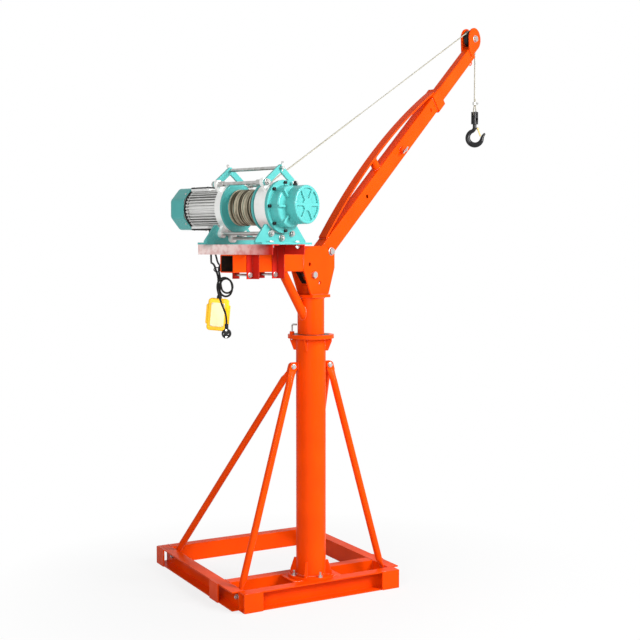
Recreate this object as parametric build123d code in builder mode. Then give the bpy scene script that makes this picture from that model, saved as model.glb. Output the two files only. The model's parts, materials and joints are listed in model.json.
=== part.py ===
"""Slewing mini crane with an electric rope winch.

Millimetres, +Z up. The origin is on the slewing axis at ground level and +X is the way the boom points.
The floor frame stands turned about Z by the angle at which the crane was left.
"""

import os
from math import atan2, cos, degrees, hypot, pi, radians, sin, sqrt, tan

from build123d import *

os.makedirs("parts", exist_ok=True)

# Pose and general fits
SLEW_DEG = 22.0
LUFF_DEG = 40.0
FREE_FIT = 0.3
HOLE_FIT = 0.5
SEAT_FIT = 0.1
WELD_PLATE = 6.0
BOLT_TAIL = 5.0

# Floor frame of outward-facing channel
CHANNEL_H = 80.0
CHANNEL_W = 50.0
CHANNEL_T = 5.0
FRONT_BEAM_L = 748.0
SIDE_WEB_X = 354.0
SIDE_REAR_Y = 770.0
SEAT_WEB = 65.0
POCKET_L = 86.0
POCKET_T = 6.0
FRONT_POCKET_Y = 66.0

# Lower column
COLUMN_OD = 127.0
COLUMN_WALL = 6.0
COLUMN_TOP_Z = 1119.0
FLANGE_R = 98.0
FOOT_FLANGE_T = 10.0
TOP_FLANGE_T = 16.0
SEAT_BOLT_R = 82.0
SEAT_BOLT_D = 10.0
SEAT_BOLT_TAIL = 14.0
GUSSET_H = 62.0
GUSSET_NOSE = 12.0
TOP_GUSSET_H = 52.0
LUG_DROP = 134.0
LUG_Z = COLUMN_TOP_Z - LUG_DROP
LUG_R = 18.0
LUG_BOLT_R = 88.0
LUG_BOLT_D = 10.0

# Braces
BRACE_OD = 30.0
BRACE_WALL = 3.0
BRACE_TAB_T = 8.0
BRACE_TAB_W = 34.0
BRACE_CRUSH = 70.0
BRACE_FOOT_Z = 44.0
BRACE_REAR_Y = 690.0
BRACE_FRONT_Y = -22.0

# Upper column and its bearing
UPPER_OD = 114.0
UPPER_WALL = 6.0
UPPER_INSIDE_L = 403.0
UPPER_OUTSIDE_L = 157.0
UPPER_FOOT_Z = COLUMN_TOP_Z - UPPER_INSIDE_L
UPPER_PLATE_Z = COLUMN_TOP_Z + UPPER_OUTSIDE_L
UPPER_PLATE_T = 12.0
UPPER_PLATE_W = 120.0
PLATE_CORNER = 4.0
SEAT_T = 12.0
RACE_T = 6.0
RACE_OD = 96.0
RACE_ID = 52.0
BALL_D = 10.0
BALL_COUNT = 14

# Slew lock
LOCK_D = 8.0
LOCK_DEG = 51.2
LOCK_R = 80.0
LOCK_RISE = 42.0
LOCK_ARM = 23.0
LOCK_BOSS_D = 20.0
LOCK_BOSS_H = 12.0

# Boom seat plates
PIVOT_X = 93.0
PIVOT_RISE = 194.0
PIVOT_Z = UPPER_PLATE_Z + PIVOT_RISE
CHEEK_GAP = 58.0
CHEEK_T = 7.0
PIN_D = 16.0
PIN_TAIL = 6.0
DRAW_PIN_TAIL = 12.0
PIN_ARC_R = 153.0
PIN_STEP_DEG = 19.5
CHEEK_BACK_X = -92.0
CHEEK_NOSE_X = 117.0
CHEEK_BEND_DROP = 70.0
CHEEK_FOOT_BACK_X = -42.0
CHEEK_FOOT_NOSE_X = 75.0
CHEEK_BACK_RISE = 1.0
CHEEK_NOSE_DROP = 8.0
CHEEK_TOP_RISE = 23.0
CHEEK_TOP_BACK_X = -43.0
CHEEK_TOP_NOSE_X = 47.0

# Winch beam
BEAM_W = 70.0
BEAM_WALL = 4.0
BEAM_RISE = 182.0
BEAM_TOP_Z = UPPER_PLATE_Z + BEAM_RISE
BEAM_END_X = -515.0
BEAM_ROOT_X = CHEEK_BACK_X
STRUT_OD = 38.0
STRUT_WALL = 3.5
STRUT_TOP_X = -186.0
STRUT_DROP = 62.0
STRUT_FOOT_Z = UPPER_PLATE_Z - STRUT_DROP

# Winch platform
RAIL_LEG = 40.0
RAIL_T = 4.0
RAIL_L = 399.0
RAIL_NEAR_Y = -174.0
REAR_RAIL_X = -445.0
FRONT_RAIL_X = -250.0
CLAMP_LEG = 36.0
CLAMP_DROP = 92.0
CLAMP_BOLT_D = 10.0

# Winch, axis along Y
WINCH_X = -347.5
WINCH_RISE = 187.0
WINCH_Z = BEAM_TOP_Z + WINCH_RISE
DRUM_FLANGE_R = 100.0
DRUM_FLANGE_T = 8.0
DRUM_LEFT_Y = 100.0
DRUM_RIGHT_Y = -74.0
ROPE_D = 6.0
WIND_R = 68.0
WIND_TURNS = 18
WIND_PITCH = 7.2
WIND_START_Y = 86.0
DRUM_GAP = 4.0
END_HOUSING_T = 30.0
EAR_T = 16.0
EAR_R = 17.0
EAR_SET_BACK = 14.0
SHAFT_D = 24.0
HOUSING_R = 97.0
ROD_D = 14.0
ROD_NUT_H = 9.0
SLEEVE_D = 22.0
SLEEVE_L = 26.0
ROD_HIGH_X = 83.0
ROD_HIGH_Z = 93.0
ROD_LOW_X = 62.0
ROD_LOW_Z = -104.0
ROD_MID_Z = -122.0
HANG_Z = 152.0
HANG_END = 14.0
SPLIT_PIN_IN = 8.0
SPLIT_PIN_D = 4.0
SPLIT_PIN_L = 30.0
SPLIT_RING_D = 12.0
SPLIT_RING_T = 3.6
BRACKET_W = 26.0
MOTOR_R = 66.0
FIN_H = 12.0
FIN_T = 3.0
FIN_COUNT = 36
FIN_ROOT = 2.0
MOTOR_RING_L = 10.0
MOTOR_L = 186.0
FAN_COVER_R = 86.0
FAN_COVER_L = 82.0
FAN_COVER_WALL = 3.0
FAN_COVER_CORNER = 22.0
FAN_COVER_ROUND = 14.0
VENT_ROWS = 4
VENT_STEP = 11.0
VENT_W = 5.0
VENT_R = 58.0
FAN_HUB_D = 40.0
FAN_HUB_L = 20.0
FAN_HUB_OUT = 30.0
FAN_BLADES = 8
FAN_BLADE_IN = 18.0
FAN_BLADE_OUT = 70.0
FAN_BLADE_T = 3.0
FAN_BLADE_L = 26.0
FAN_BLADE_RISE = 4.0
COVER_W = 86.0
COVER_L = 96.0
COVER_CORNER = 6.0
COVER_BACK = 2.0
COVER_LIFT = 1.0
FAN_SHAFT_L = 60.0
SHIELD_T = 6.0
GEAR_HOUSING_L = 62.0
GEAR_FLANGE_R = 104.0
GEAR_FLANGE_T = 13.0
GEAR_COVER_R = 84.0
GEAR_COVER_L = 36.0
GEAR_COVER_SLOPE = 5.0
GEAR_COVER_ROUND = 8.0
GEAR_RIB_DEGS = (130, 180, 230)
GEAR_RIB_IN = 48.0
GEAR_RIB_OUT = 86.0
GEAR_RIB_W = 9.0
GEAR_RIB_PROUD = 10.0
GEAR_SCREW_R = 94.0
GEAR_SCREW_D = 8.0
GEAR_SCREW_COUNT = 5
BULGE_R = 76.0
BULGE_L = 42.0
BULGE_X = 42.0
BULGE_Z = 8.0
BULGE_STEP = 4.0
BULGE_ROUND = 6.0
BULGE_RIM = 12.0
BULGE_HUB_R = 24.0
BULGE_SPOKES = 6
BULGE_SPOKE_W = 12.0
BULGE_SINK = 6.0
BREATHER_R = 9.0
BREATHER_CAP_R = 6.0
BREATHER_H = 8.0
FOOT_HALF = 150.0
FOOT_T = 8.0
FOOT_BOLT_OUT = 26.0
FOOT_RISE = 78.0
FOOT_EDGE = 14.0
FOOT_SHOULDER = 92.0
FOOT_FLANGE = 44.0
FOOT_BOLT_D = 10.0

# Boom, in its own frame: x along the tube from the pivot, z square to it
BOOM_H = 75.0
BOOM_W = 50.0
BOOM_WALL = 4.0
BOOM_UP = 10.5
BOOM_HEEL = 185.0
SADDLE_SWEEP = 10.0
BOOM_L = 1147.0
COLLAR_L = 66.0
COLLAR_T = 8.0
STRAP_T = 8.0
STRAP_FOOT_X = 28.0
STRAP_RISE = 50.0
POST_X = 530.0
POST_D = 38.0
LOCK_SCREW_X = 711.0
SCREW_D = 12.0
SCREW_NUT_T = 12.0
SCREW_OUT = 20.0
SCREW_BAR_L = 48.0
SCREW_BAR_D = 8.0
SIDE_HOLES_X = (367.0, 1034.0)
SIDE_HOLE_D = 18.0

# Extension and head
EXT_H = 64.0
EXT_W = 39.0
EXT_WALL = 4.0
EXT_TAIL_X = 640.0
EXT_END_X = 1546.0
HEAD_REACH = 46.0
HEAD_X = EXT_END_X + HEAD_REACH
HEAD_Z = 56.0
HEAD_R = 54.0
HEAD_TAIL = 34.0
HEAD_TAIL_W = 36.0
GUARD_D = 6.0
GUARD_DEG = -6.0
HEAD_T = 6.0
SHEAVE_R = 45.0
SHEAVE_W = 24.0
SHEAVE_PITCH_R = 42.0
SHEAVE_HUB_R = 18.0
SHEAVE_RIM_R = 32.0
SHEAVE_WEB = 12.0
RING_D = 5.5
RING_R = 13.0
RING_INSET = 32.0
RING_X = EXT_END_X - RING_INSET
RING_DROP = 22.0
RING_CORNER = 12.0

# Rope span, eye and hook
SPAN_SPLIT = 0.42
FALL_L = 305.0
EYE_PAIR = 7.0
EYE_NECK = 20.0
EYE_HALF = 12.5
EYE_L = 72.0
EYE_END = 14.0
CLIP_W = 24.0
CLIP_D = 18.0
CLIP_H = 14.0
YOKE_W = 36.0
YOKE_D = 28.0
YOKE_DROP = 52.0
YOKE_BAR = 9.0
YOKE_PIN_D = 10.0
YOKE_WINDOW_W = 24.0
YOKE_WINDOW_H = 22.0
HOOK_ROD_D = 18.0
HOOK_NECK = 14.0
BOWL_X = 2.0
BOWL_Z = -67.5
BOWL_R = 36.5
BOWL_START_DEG = 120.0
BOWL_MID_DEG = 230.0
BOWL_END_DEG = 350.0
HOOK_TIP = (53.0, -46.0)
HOOK_SECTIONS = ((0.0, 10.0), (0.2, 10.5), (0.55, 13.5), (0.85, 10.0), (1.0, 5.0))
LATCH_SPOT = (16.0, -22.0)
LATCH_TIP = (30.0, -60.0)
LATCH_EAR_R = 6.0
LATCH_EAR_T = 8.0
LATCH_PIN_D = 4.0
LATCH_W = 14.0
LATCH_T = 5.0

# Pendant, cables and plug: heights from the beam's top, hanging runs also right of and in front of the tie
PENDANT_W = 80.0
PENDANT_H = 126.0
PENDANT_D = 42.0
PENDANT_CORNER = 13.0
PENDANT_ROUND = 6.0
PENDANT_TILT = -5.0
PANEL_T = 3.5
BUTTON_D = 22.0
BUTTON_OUT = 6.0
BUTTON_DEEP = 10.0
BUTTON_TRAVEL = 4.0
GLAND_H = 18.0
GLAND_R = 10.0
COVER_H = 18.0
CORD_D = 8.0
LEAD_D = 7.5
TIE_X = -518.0
TIE_Y = 50.0
TIE_RING = (-514.5, 52.5, -58.5)
TIE_RUN = (-0.47, -0.47, -0.74)
TIE_RING_R = 12.5
TIE_RING_D = 4.0
TIE_TAB = (-510.0, -53.5)
TIE_TAB_W = 8.0
TIE_TAB_L = 7.0
PENDANT_CABLE_RUN = (
    (-347.5, 250, 87), (-347.5, 250, 62), (-350, 247, 32), (-358, 238, 2), (-376, 220, -20), (-402, 194, -30),
    (-434, 162, -34), (-464, 130, -34), (-490, 98, -36), (-508, 72, -44), (-519, 56, -58),
)
PENDANT_CABLE_HANG = (
    (5, 6, -84), (6, 8, -110), (8.8, 10, -134), (16.6, 12, -155), (33, 12.5, -164), (50.5, 11, -158.5),
    (60, 8, -139.5), (59.3, 4, -117), (52, 0, -99.5), (35.6, -4.8, -92), (19.4, -8.9, -98),
    (11.9, -11, -112.5), (10.9, -11, -131), (9, -11, -153),
)
POWER_LEAD_RUN = (
    (-347.5, 232, 87), (-347.5, 232, 62), (-350, 226, 34), (-357, 214, 4), (-370, 194, -18), (-390, 170, -31),
    (-418, 136, -39), (-446, 104, -42), (-472, 78, -44), (-494, 61, -48), (-510, 49, -59),
)
POWER_LEAD_HANG = (
    (12, 11, -82), (15, 16, -104), (17.5, 20, -124.5), (23, 23, -142), (40, 25, -150.5), (57.5, 25.5, -143.5),
    (64.5, 25, -124), (57.5, 24, -104), (43, 24, -91), (26, 26, -88), (9, 28, -98), (2, 30, -122),
    (8, 32, -153), (18, 34, -184), (29, 35, -212), (39, 35, -238), (39, 35, -268),
)
PLUG_NECK = 38.0
PLUG_R = 18.0
PLUG_L = 26.0
PLUG_PIN_D = 4.8
PLUG_PIN_L = 19.0
PLUG_PIN_GAP = 19.0

UP = Vector(0, 0, 1)
base_plane = Plane.XY.rotated((0, 0, -SLEW_DEG))
base_x = base_plane.x_dir
base_y = base_plane.y_dir


def finish(piece, label):
    """Name a finished piece and write it."""
    piece.part.label = label
    export_step(piece.part, f"parts/{label}.step")


def base_point(x, y, z):
    """A point of the floor frame, given along and across its front beam."""
    return base_plane.from_local_coords(Vector(x, y, z))


def channel(middle, outward, length):
    """A channel beam on the floor: its web's inner face at the middle point, its flanges outward."""
    with BuildPart() as beam:
        with BuildSketch(Plane(origin=middle, x_dir=outward, z_dir=outward.cross(UP))):
            with BuildLine():
                Polyline(
                    (0, 0), (CHANNEL_W, 0), (CHANNEL_W, CHANNEL_T), (CHANNEL_T, CHANNEL_T),
                    (CHANNEL_T, CHANNEL_H - CHANNEL_T), (CHANNEL_W, CHANNEL_H - CHANNEL_T),
                    (CHANNEL_W, CHANNEL_H), (0, CHANNEL_H), close=True,
                )
            make_face()
        extrude(amount=length / 2, both=True)
    return beam


def drill(centre, direction, diameter, depth):
    """Cut a round hole right through, centred on a point."""
    with BuildSketch(Plane(origin=centre, z_dir=direction)) as bore:
        Circle(diameter / 2)
    extrude(bore.sketch, amount=depth / 2, both=True, mode=Mode.SUBTRACT)


def bolt(seat, direction, shank_d, grip, tail):
    """One hex bolt with its nut: head at the seat, shank along the direction through the grip."""
    head_h = 0.65 * shank_d
    nut_h = 0.8 * shank_d
    with BuildPart() as fastener:
        with BuildSketch(Plane(origin=seat, z_dir=direction)):
            RegularPolygon(0.95 * shank_d, 6)
        extrude(amount=-head_h)
        with BuildSketch(Plane(origin=seat, z_dir=direction)):
            Circle(shank_d / 2)
        extrude(amount=grip + nut_h + tail)
        with BuildSketch(Plane(origin=seat + direction * grip, z_dir=direction)):
            RegularPolygon(0.95 * shank_d, 6)
        extrude(amount=nut_h)
    return fastener


def group(builders, label):
    """Write several separate solids of the same kind as one node."""
    solids = [solid for builder in builders for solid in builder.part.solids()]
    bundle = Compound(children=solids, label=label)
    export_step(bundle, f"parts/{label}.step")


# Floor frame

seat_flange_mid = SEAT_WEB + CHANNEL_W / 2 + CHANNEL_T / 2
bolt_dirs = {"front": -base_y, "inner": base_y, "left": -base_x, "right": base_x}
seat_hole_z = CHANNEL_H - CHANNEL_T / 2

beams = {
    "front_beam": (base_point(0, -SEAT_WEB, 0), -base_y, FRONT_BEAM_L),
    "inner_beam": (base_point(0, SEAT_WEB, 0), base_y, 2 * SIDE_WEB_X),
    "rear_beam": (base_point(0, SIDE_REAR_Y - CHANNEL_W, 0), base_y, 2 * SIDE_WEB_X),
}
seat_frame = []
for beam_name, (beam_middle, beam_out, beam_length) in beams.items():
    beam_part = channel(beam_middle, beam_out, beam_length)
    if beam_name != "rear_beam":
        with beam_part:
            drill(beam_out * SEAT_BOLT_R + UP * seat_hole_z, UP, SEAT_BOLT_D + HOLE_FIT, 4 * CHANNEL_T)
    if beam_name == "inner_beam":
        seat_frame.append(beam_part)
    else:
        finish(beam_part, beam_name)

side_length = SIDE_REAR_Y + SEAT_WEB
side_middle_y = (SIDE_REAR_Y - SEAT_WEB) / 2
for side_name, side_sign in (("left", -1), ("right", 1)):
    side_middle = base_point(side_sign * SIDE_WEB_X, side_middle_y, 0)
    side_beam = channel(side_middle, base_x * side_sign, side_length)
    with side_beam:
        for brace_y in (BRACE_FRONT_Y, BRACE_REAR_Y):
            drill(
                base_point(side_sign * SIDE_WEB_X, brace_y, BRACE_FOOT_Z), base_x,
                LUG_BOLT_D + HOLE_FIT, 4 * CHANNEL_T,
            )
    finish(side_beam, f"{side_name}_side_beam")
    cross = channel(base_point(side_sign * SEAT_WEB, 0, 0), base_x * side_sign, 2 * SEAT_WEB)
    with cross:
        drill(
            base_x * (side_sign * SEAT_BOLT_R) + UP * seat_hole_z, UP, SEAT_BOLT_D + HOLE_FIT, 4 * CHANNEL_T
        )
    seat_frame.append(cross)
group(seat_frame, "inner_seat_frame")

# Pocket plates that close the channels near the corners


def pocket(middle, outward):
    """A plate across a channel's mouth, with its face on the flange tips."""
    with BuildPart() as plate:
        with BuildSketch(Plane(origin=middle + outward * CHANNEL_W, x_dir=UP.cross(outward), z_dir=outward)):
            with Locations((0, CHANNEL_H / 2)):
                RectangleRounded(POCKET_L, CHANNEL_H, POCKET_T / 2)
        extrude(amount=POCKET_T)
    return plate


pocket_x = FRONT_BEAM_L / 2 - POCKET_L / 2
pockets = [pocket(base_point(sign * pocket_x, -SEAT_WEB, 0), -base_y) for sign in (-1, 1)]
for sign in (-1, 1):
    for pocket_y in (FRONT_POCKET_Y + POCKET_L / 2, SIDE_REAR_Y - POCKET_L / 2):
        pockets.append(pocket(base_point(sign * SIDE_WEB_X, pocket_y, 0), base_x * sign))
group(pockets, "corner_pockets")

# Lower column: tube, flanges, gussets and brace lugs

column_foot_z = CHANNEL_H + FOOT_FLANGE_T
column_r = COLUMN_OD / 2
column_bore_r = column_r - COLUMN_WALL
top_flange_z = COLUMN_TOP_Z - TOP_FLANGE_T
seat_z = UPPER_FOOT_Z - 2 * RACE_T - BALL_D

with BuildPart() as column_tube:
    with BuildSketch(Plane.XY.offset(column_foot_z)):
        Circle(column_r)
        Circle(column_bore_r, mode=Mode.SUBTRACT)
    extrude(amount=COLUMN_TOP_Z - column_foot_z)
    with BuildSketch(Plane.XY.offset(seat_z - SEAT_T)):
        Circle(column_r - COLUMN_WALL / 2)
        Circle(RACE_ID / 2, mode=Mode.SUBTRACT)
    extrude(amount=SEAT_T)
finish(column_tube, "lower_column_tube")

with BuildPart() as foot_flange:
    with BuildSketch(base_plane.offset(CHANNEL_H)):
        Circle(FLANGE_R)
        with PolarLocations(SEAT_BOLT_R, 4):
            Circle((SEAT_BOLT_D + HOLE_FIT) / 2, mode=Mode.SUBTRACT)
    extrude(amount=FOOT_FLANGE_T)

lock_dir = Vector(-cos(radians(LOCK_DEG)), sin(radians(LOCK_DEG)), 0)
lock_foot = lock_dir * LOCK_R
with BuildPart() as top_flange:
    with BuildSketch(Plane.XY.offset(top_flange_z)):
        Circle(FLANGE_R)
        Circle(column_r, mode=Mode.SUBTRACT)
        with Locations((lock_foot.X, lock_foot.Y)):
            Circle(LOCK_D / 2 + FREE_FIT, mode=Mode.SUBTRACT)
    extrude(amount=TOP_FLANGE_T)
    with BuildSketch(Plane.XY.offset(COLUMN_TOP_Z)):
        with Locations((lock_foot.X, lock_foot.Y)):
            Circle(LOCK_BOSS_D / 2)
            Circle(LOCK_D / 2 + FREE_FIT, mode=Mode.SUBTRACT)
    extrude(amount=LOCK_BOSS_H)
group([foot_flange, top_flange], "column_flanges")


def gusset(angle, root_z, height, grow):
    """A clipped triangular rib on the column, standing up from a flange or hanging from one."""
    reach = FLANGE_R - GUSSET_NOSE / 2
    with BuildPart() as rib:
        with BuildSketch(Plane(origin=(0, 0, root_z), x_dir=Vector(1, 0, 0).rotate(Axis.Z, angle),
                               z_dir=Vector(0, -1, 0).rotate(Axis.Z, angle))):
            with BuildLine():
                Polyline(
                    (column_r - COLUMN_WALL / 2, 0), (reach, 0), (reach, grow * GUSSET_NOSE),
                    (column_r + GUSSET_NOSE, grow * height), (column_r - COLUMN_WALL / 2, grow * height),
                    close=True,
                )
            make_face()
        extrude(amount=WELD_PLATE / 2, both=True)
        with BuildSketch(Plane.XY.offset(root_z + (0 if grow > 0 else -height))):
            Circle(column_r)
        extrude(amount=height, mode=Mode.SUBTRACT)
    return rib


rib_angles = [45 + 90 * step - SLEW_DEG for step in range(4)]
column_ribs = [gusset(angle, column_foot_z, GUSSET_H, 1) for angle in rib_angles]
column_ribs += [gusset(angle, top_flange_z, TOP_GUSSET_H, -1) for angle in rib_angles]
for sign in (-1, 1):
    with BuildPart() as lug:
        with BuildSketch(Plane(origin=UP * LUG_Z, x_dir=base_x * sign, z_dir=base_y * -sign)):
            with Locations(((column_r + LUG_BOLT_R) / 2 - COLUMN_WALL, 0)):
                Rectangle(LUG_BOLT_R - column_r + 2 * COLUMN_WALL, 2 * LUG_R)
            with Locations((LUG_BOLT_R, 0)):
                Circle(LUG_R)
                Circle((LUG_BOLT_D + HOLE_FIT) / 2, mode=Mode.SUBTRACT)
        extrude(amount=WELD_PLATE / 2, both=True)
        with BuildSketch(Plane.XY.offset(LUG_Z - 2 * BRACE_TAB_W)):
            Circle(column_r)
        extrude(amount=4 * BRACE_TAB_W, mode=Mode.SUBTRACT)
    column_ribs.append(lug)
group(column_ribs, "column_ribs")

frame_bolts = []
for direction in bolt_dirs.values():
    frame_bolts.append(bolt(direction * SEAT_BOLT_R + UP * (CHANNEL_H - CHANNEL_T), UP, SEAT_BOLT_D,
                            FOOT_FLANGE_T + CHANNEL_T, SEAT_BOLT_TAIL))

# Braces: round tube with flattened ends, the head bolted to a lug and the foot to a side beam


def brace(head, foot, head_side, foot_side):
    """A round tube from head to foot whose ends are flattened square to the bolts."""
    line = (foot - head).normalized()
    span = (foot - head).length
    head_across = line.cross(head_side).normalized()
    foot_across = line.cross(foot_side).normalized()
    mouth_w = BRACE_TAB_W - 2 * FREE_FIT
    mouth_t = BRACE_TAB_T - 2 * FREE_FIT
    with BuildPart() as tube:
        with BuildSketch(Plane(origin=head + line * BRACE_CRUSH, z_dir=line)):
            Circle(BRACE_OD / 2)
        extrude(amount=span - 2 * BRACE_CRUSH)
        for end, along, across, side in (
            (head, line, head_across, head_side), (foot, line * -1, foot_across, foot_side),
        ):
            tab_along = across.cross(side) * (1 if across.cross(side).dot(along) > 0 else -1)
            mouth = end + tab_along * BRACE_TAB_W * 0.6
            with BuildSketch(Plane(origin=mouth, x_dir=across, z_dir=tab_along)):
                RectangleRounded(mouth_w, mouth_t, mouth_t / 2 - FREE_FIT)
            with BuildSketch(Plane(origin=end + along * BRACE_CRUSH, x_dir=across, z_dir=along)):
                Circle(BRACE_OD / 2)
            loft()
            with BuildSketch(Plane(origin=end, x_dir=tab_along, z_dir=side)):
                Circle(BRACE_TAB_W / 2)
                with Locations((BRACE_TAB_W * 0.4, 0)):
                    Rectangle(BRACE_TAB_W * 0.8, BRACE_TAB_W)
            extrude(amount=BRACE_TAB_T / 2, both=True)
            drill(end, side, LUG_BOLT_D + HOLE_FIT, 6 * BRACE_TAB_T)
    return tube


for side_name, side_sign in (("left", -1), ("right", 1)):
    lug_point = base_point(side_sign * LUG_BOLT_R, 0, LUG_Z)
    head_shift = (WELD_PLATE + BRACE_TAB_T) / 2
    for end_name, end_y, end_sign in (("front", BRACE_FRONT_Y, -1), ("rear", BRACE_REAR_Y, 1)):
        brace_head = lug_point + base_y * (end_sign * head_shift)
        brace_foot = base_point(side_sign * (SIDE_WEB_X - BRACE_TAB_T / 2), end_y, BRACE_FOOT_Z)
        finish(brace(brace_head, brace_foot, base_y, base_x), f"{side_name}_{end_name}_brace")
        frame_bolts.append(bolt(
            brace_foot - base_x * (side_sign * BRACE_TAB_T / 2), base_x * side_sign, LUG_BOLT_D,
            BRACE_TAB_T + CHANNEL_T, BOLT_TAIL,
        ))
    stack = WELD_PLATE + 2 * BRACE_TAB_T
    frame_bolts.append(bolt(lug_point - base_y * (stack / 2), base_y, LUG_BOLT_D, stack, BOLT_TAIL))
group(frame_bolts, "frame_bolts")

# Thrust bearing inside the column: lower race with balls, the upper race on the foot of the upper column

race_mid_r = (RACE_OD + RACE_ID) / 4
ball_z = seat_z + RACE_T + BALL_D / 2
with BuildPart() as lower_race:
    with BuildSketch(Plane.XY.offset(seat_z)):
        Circle(RACE_OD / 2)
        Circle(RACE_ID / 2, mode=Mode.SUBTRACT)
    extrude(amount=RACE_T)
    with BuildSketch(Plane.XZ):
        with Locations((race_mid_r, ball_z)):
            Circle(BALL_D / 2 + FREE_FIT)
    revolve(axis=Axis.Z, mode=Mode.SUBTRACT)
bearing = [lower_race]
for ball_number in range(BALL_COUNT):
    with BuildPart() as ball:
        ball_spot = Vector(race_mid_r, 0, ball_z - FREE_FIT).rotate(Axis.Z, 360 * ball_number / BALL_COUNT)
        with Locations(ball_spot):
            Sphere(BALL_D / 2)
    bearing.append(ball)
group(bearing, "thrust_bearing")

# Upper column: tube, foot with race and spigot, and the top plate

upper_r = UPPER_OD / 2
with BuildPart() as upper_column:
    with BuildSketch(Plane.XY.offset(UPPER_FOOT_Z)):
        Circle(upper_r)
    extrude(amount=UPPER_PLATE_Z - UPPER_FOOT_Z)
    with BuildSketch(Plane.XY.offset(UPPER_FOOT_Z + SEAT_T)):
        Circle(upper_r - UPPER_WALL)
    extrude(amount=UPPER_PLATE_Z - UPPER_FOOT_Z - SEAT_T, mode=Mode.SUBTRACT)
    with BuildSketch(Plane.XY.offset(UPPER_PLATE_Z)):
        RectangleRounded(UPPER_PLATE_W, UPPER_PLATE_W, PLATE_CORNER)
    extrude(amount=UPPER_PLATE_T)
    with BuildSketch(Plane.XY.offset(UPPER_FOOT_Z)):
        Circle(RACE_OD / 2)
    extrude(amount=-RACE_T)
    with BuildSketch(Plane.XY.offset(UPPER_FOOT_Z)):
        Circle(RACE_ID / 2 - FREE_FIT)
    extrude(amount=-(2 * RACE_T + BALL_D + SEAT_T / 2))
    with BuildSketch(Plane.XZ):
        with Locations((race_mid_r, ball_z)):
            Circle(BALL_D / 2 + FREE_FIT)
    revolve(axis=Axis.Z, mode=Mode.SUBTRACT)
finish(upper_column, "upper_column")

# Slew lock: a bent rod that drops through the top flange

lock_top_z = COLUMN_TOP_Z + LOCK_RISE
lock_arm_dir = (lock_dir * -1).rotate(Axis.Z, -35)
with BuildPart() as lock_rod:
    with BuildLine():
        FilletPolyline(
            lock_foot + UP * (top_flange_z - LOCK_D), lock_foot + UP * lock_top_z,
            lock_foot + UP * lock_top_z + lock_arm_dir * LOCK_ARM, radius=LOCK_D,
        )
    with BuildSketch(Plane(origin=lock_foot + UP * (top_flange_z - LOCK_D), z_dir=UP)):
        Circle(LOCK_D / 2)
    sweep()
finish(lock_rod, "slew_lock_rod")

# Boom seat: two cheek plates with a pivot hole and three luffing holes

cheek_z = UPPER_PLATE_Z + UPPER_PLATE_T
luff_angles = [LUFF_DEG + step * PIN_STEP_DEG for step in (-1, 0, 1)]
luff_holes = [
    (PIVOT_X - PIN_ARC_R * cos(radians(angle)), PIVOT_Z - PIN_ARC_R * sin(radians(angle)))
    for angle in luff_angles
]
cheek_outline = (
    (CHEEK_BACK_X, PIVOT_Z + CHEEK_BACK_RISE), (CHEEK_BACK_X, PIVOT_Z - CHEEK_BEND_DROP),
    (CHEEK_FOOT_BACK_X, cheek_z), (CHEEK_FOOT_NOSE_X, cheek_z),
    (CHEEK_NOSE_X, PIVOT_Z - CHEEK_BEND_DROP), (CHEEK_NOSE_X, PIVOT_Z - CHEEK_NOSE_DROP),
    (CHEEK_TOP_NOSE_X, PIVOT_Z + CHEEK_TOP_RISE), (CHEEK_TOP_BACK_X, PIVOT_Z + CHEEK_TOP_RISE),
)
cheeks = []
for cheek_sign in (-1, 1):
    with BuildPart() as cheek:
        with BuildSketch(Plane.XZ.offset(-cheek_sign * (CHEEK_GAP + CHEEK_T) / 2)):
            with BuildLine():
                Polyline(*cheek_outline, close=True)
            make_face()
            with Locations((PIVOT_X, PIVOT_Z), *luff_holes):
                Circle(PIN_D / 2 + FREE_FIT, mode=Mode.SUBTRACT)
        extrude(amount=CHEEK_T / 2, both=True)
    cheeks.append(cheek)
group(cheeks, "boom_cheeks")


cheek_half = CHEEK_GAP / 2 + CHEEK_T
pivot_head = Vector(PIVOT_X, -cheek_half, PIVOT_Z)
finish(bolt(pivot_head, Vector(0, 1, 0), PIN_D, 2 * cheek_half, PIN_TAIL), "boom_pivot_pin")

luff_seat = Plane(origin=(luff_holes[1][0], -cheek_half, luff_holes[1][1]), z_dir=(0, 1, 0))
with BuildPart() as luff_pin:
    with BuildSketch(luff_seat):
        RegularPolygon(0.95 * PIN_D, 6)
    extrude(amount=-0.65 * PIN_D)
    with BuildSketch(luff_seat):
        Circle(PIN_D / 2)
    extrude(amount=2 * cheek_half + DRAW_PIN_TAIL)
    chamfer(luff_pin.faces().sort_by(Axis.Y)[-1].edges(), PIN_D / 8)
finish(luff_pin, "luff_pin")

# Winch beam and its strut

with BuildPart() as winch_beam:
    with BuildSketch(Plane.YZ.offset(BEAM_END_X)):
        with Locations((0, BEAM_TOP_Z - BEAM_W / 2)):
            RectangleRounded(BEAM_W, BEAM_W, BEAM_WALL)
            Rectangle(BEAM_W - 2 * BEAM_WALL, BEAM_W - 2 * BEAM_WALL, mode=Mode.SUBTRACT)
    extrude(amount=BEAM_ROOT_X - BEAM_END_X)
finish(winch_beam, "winch_beam")

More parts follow.
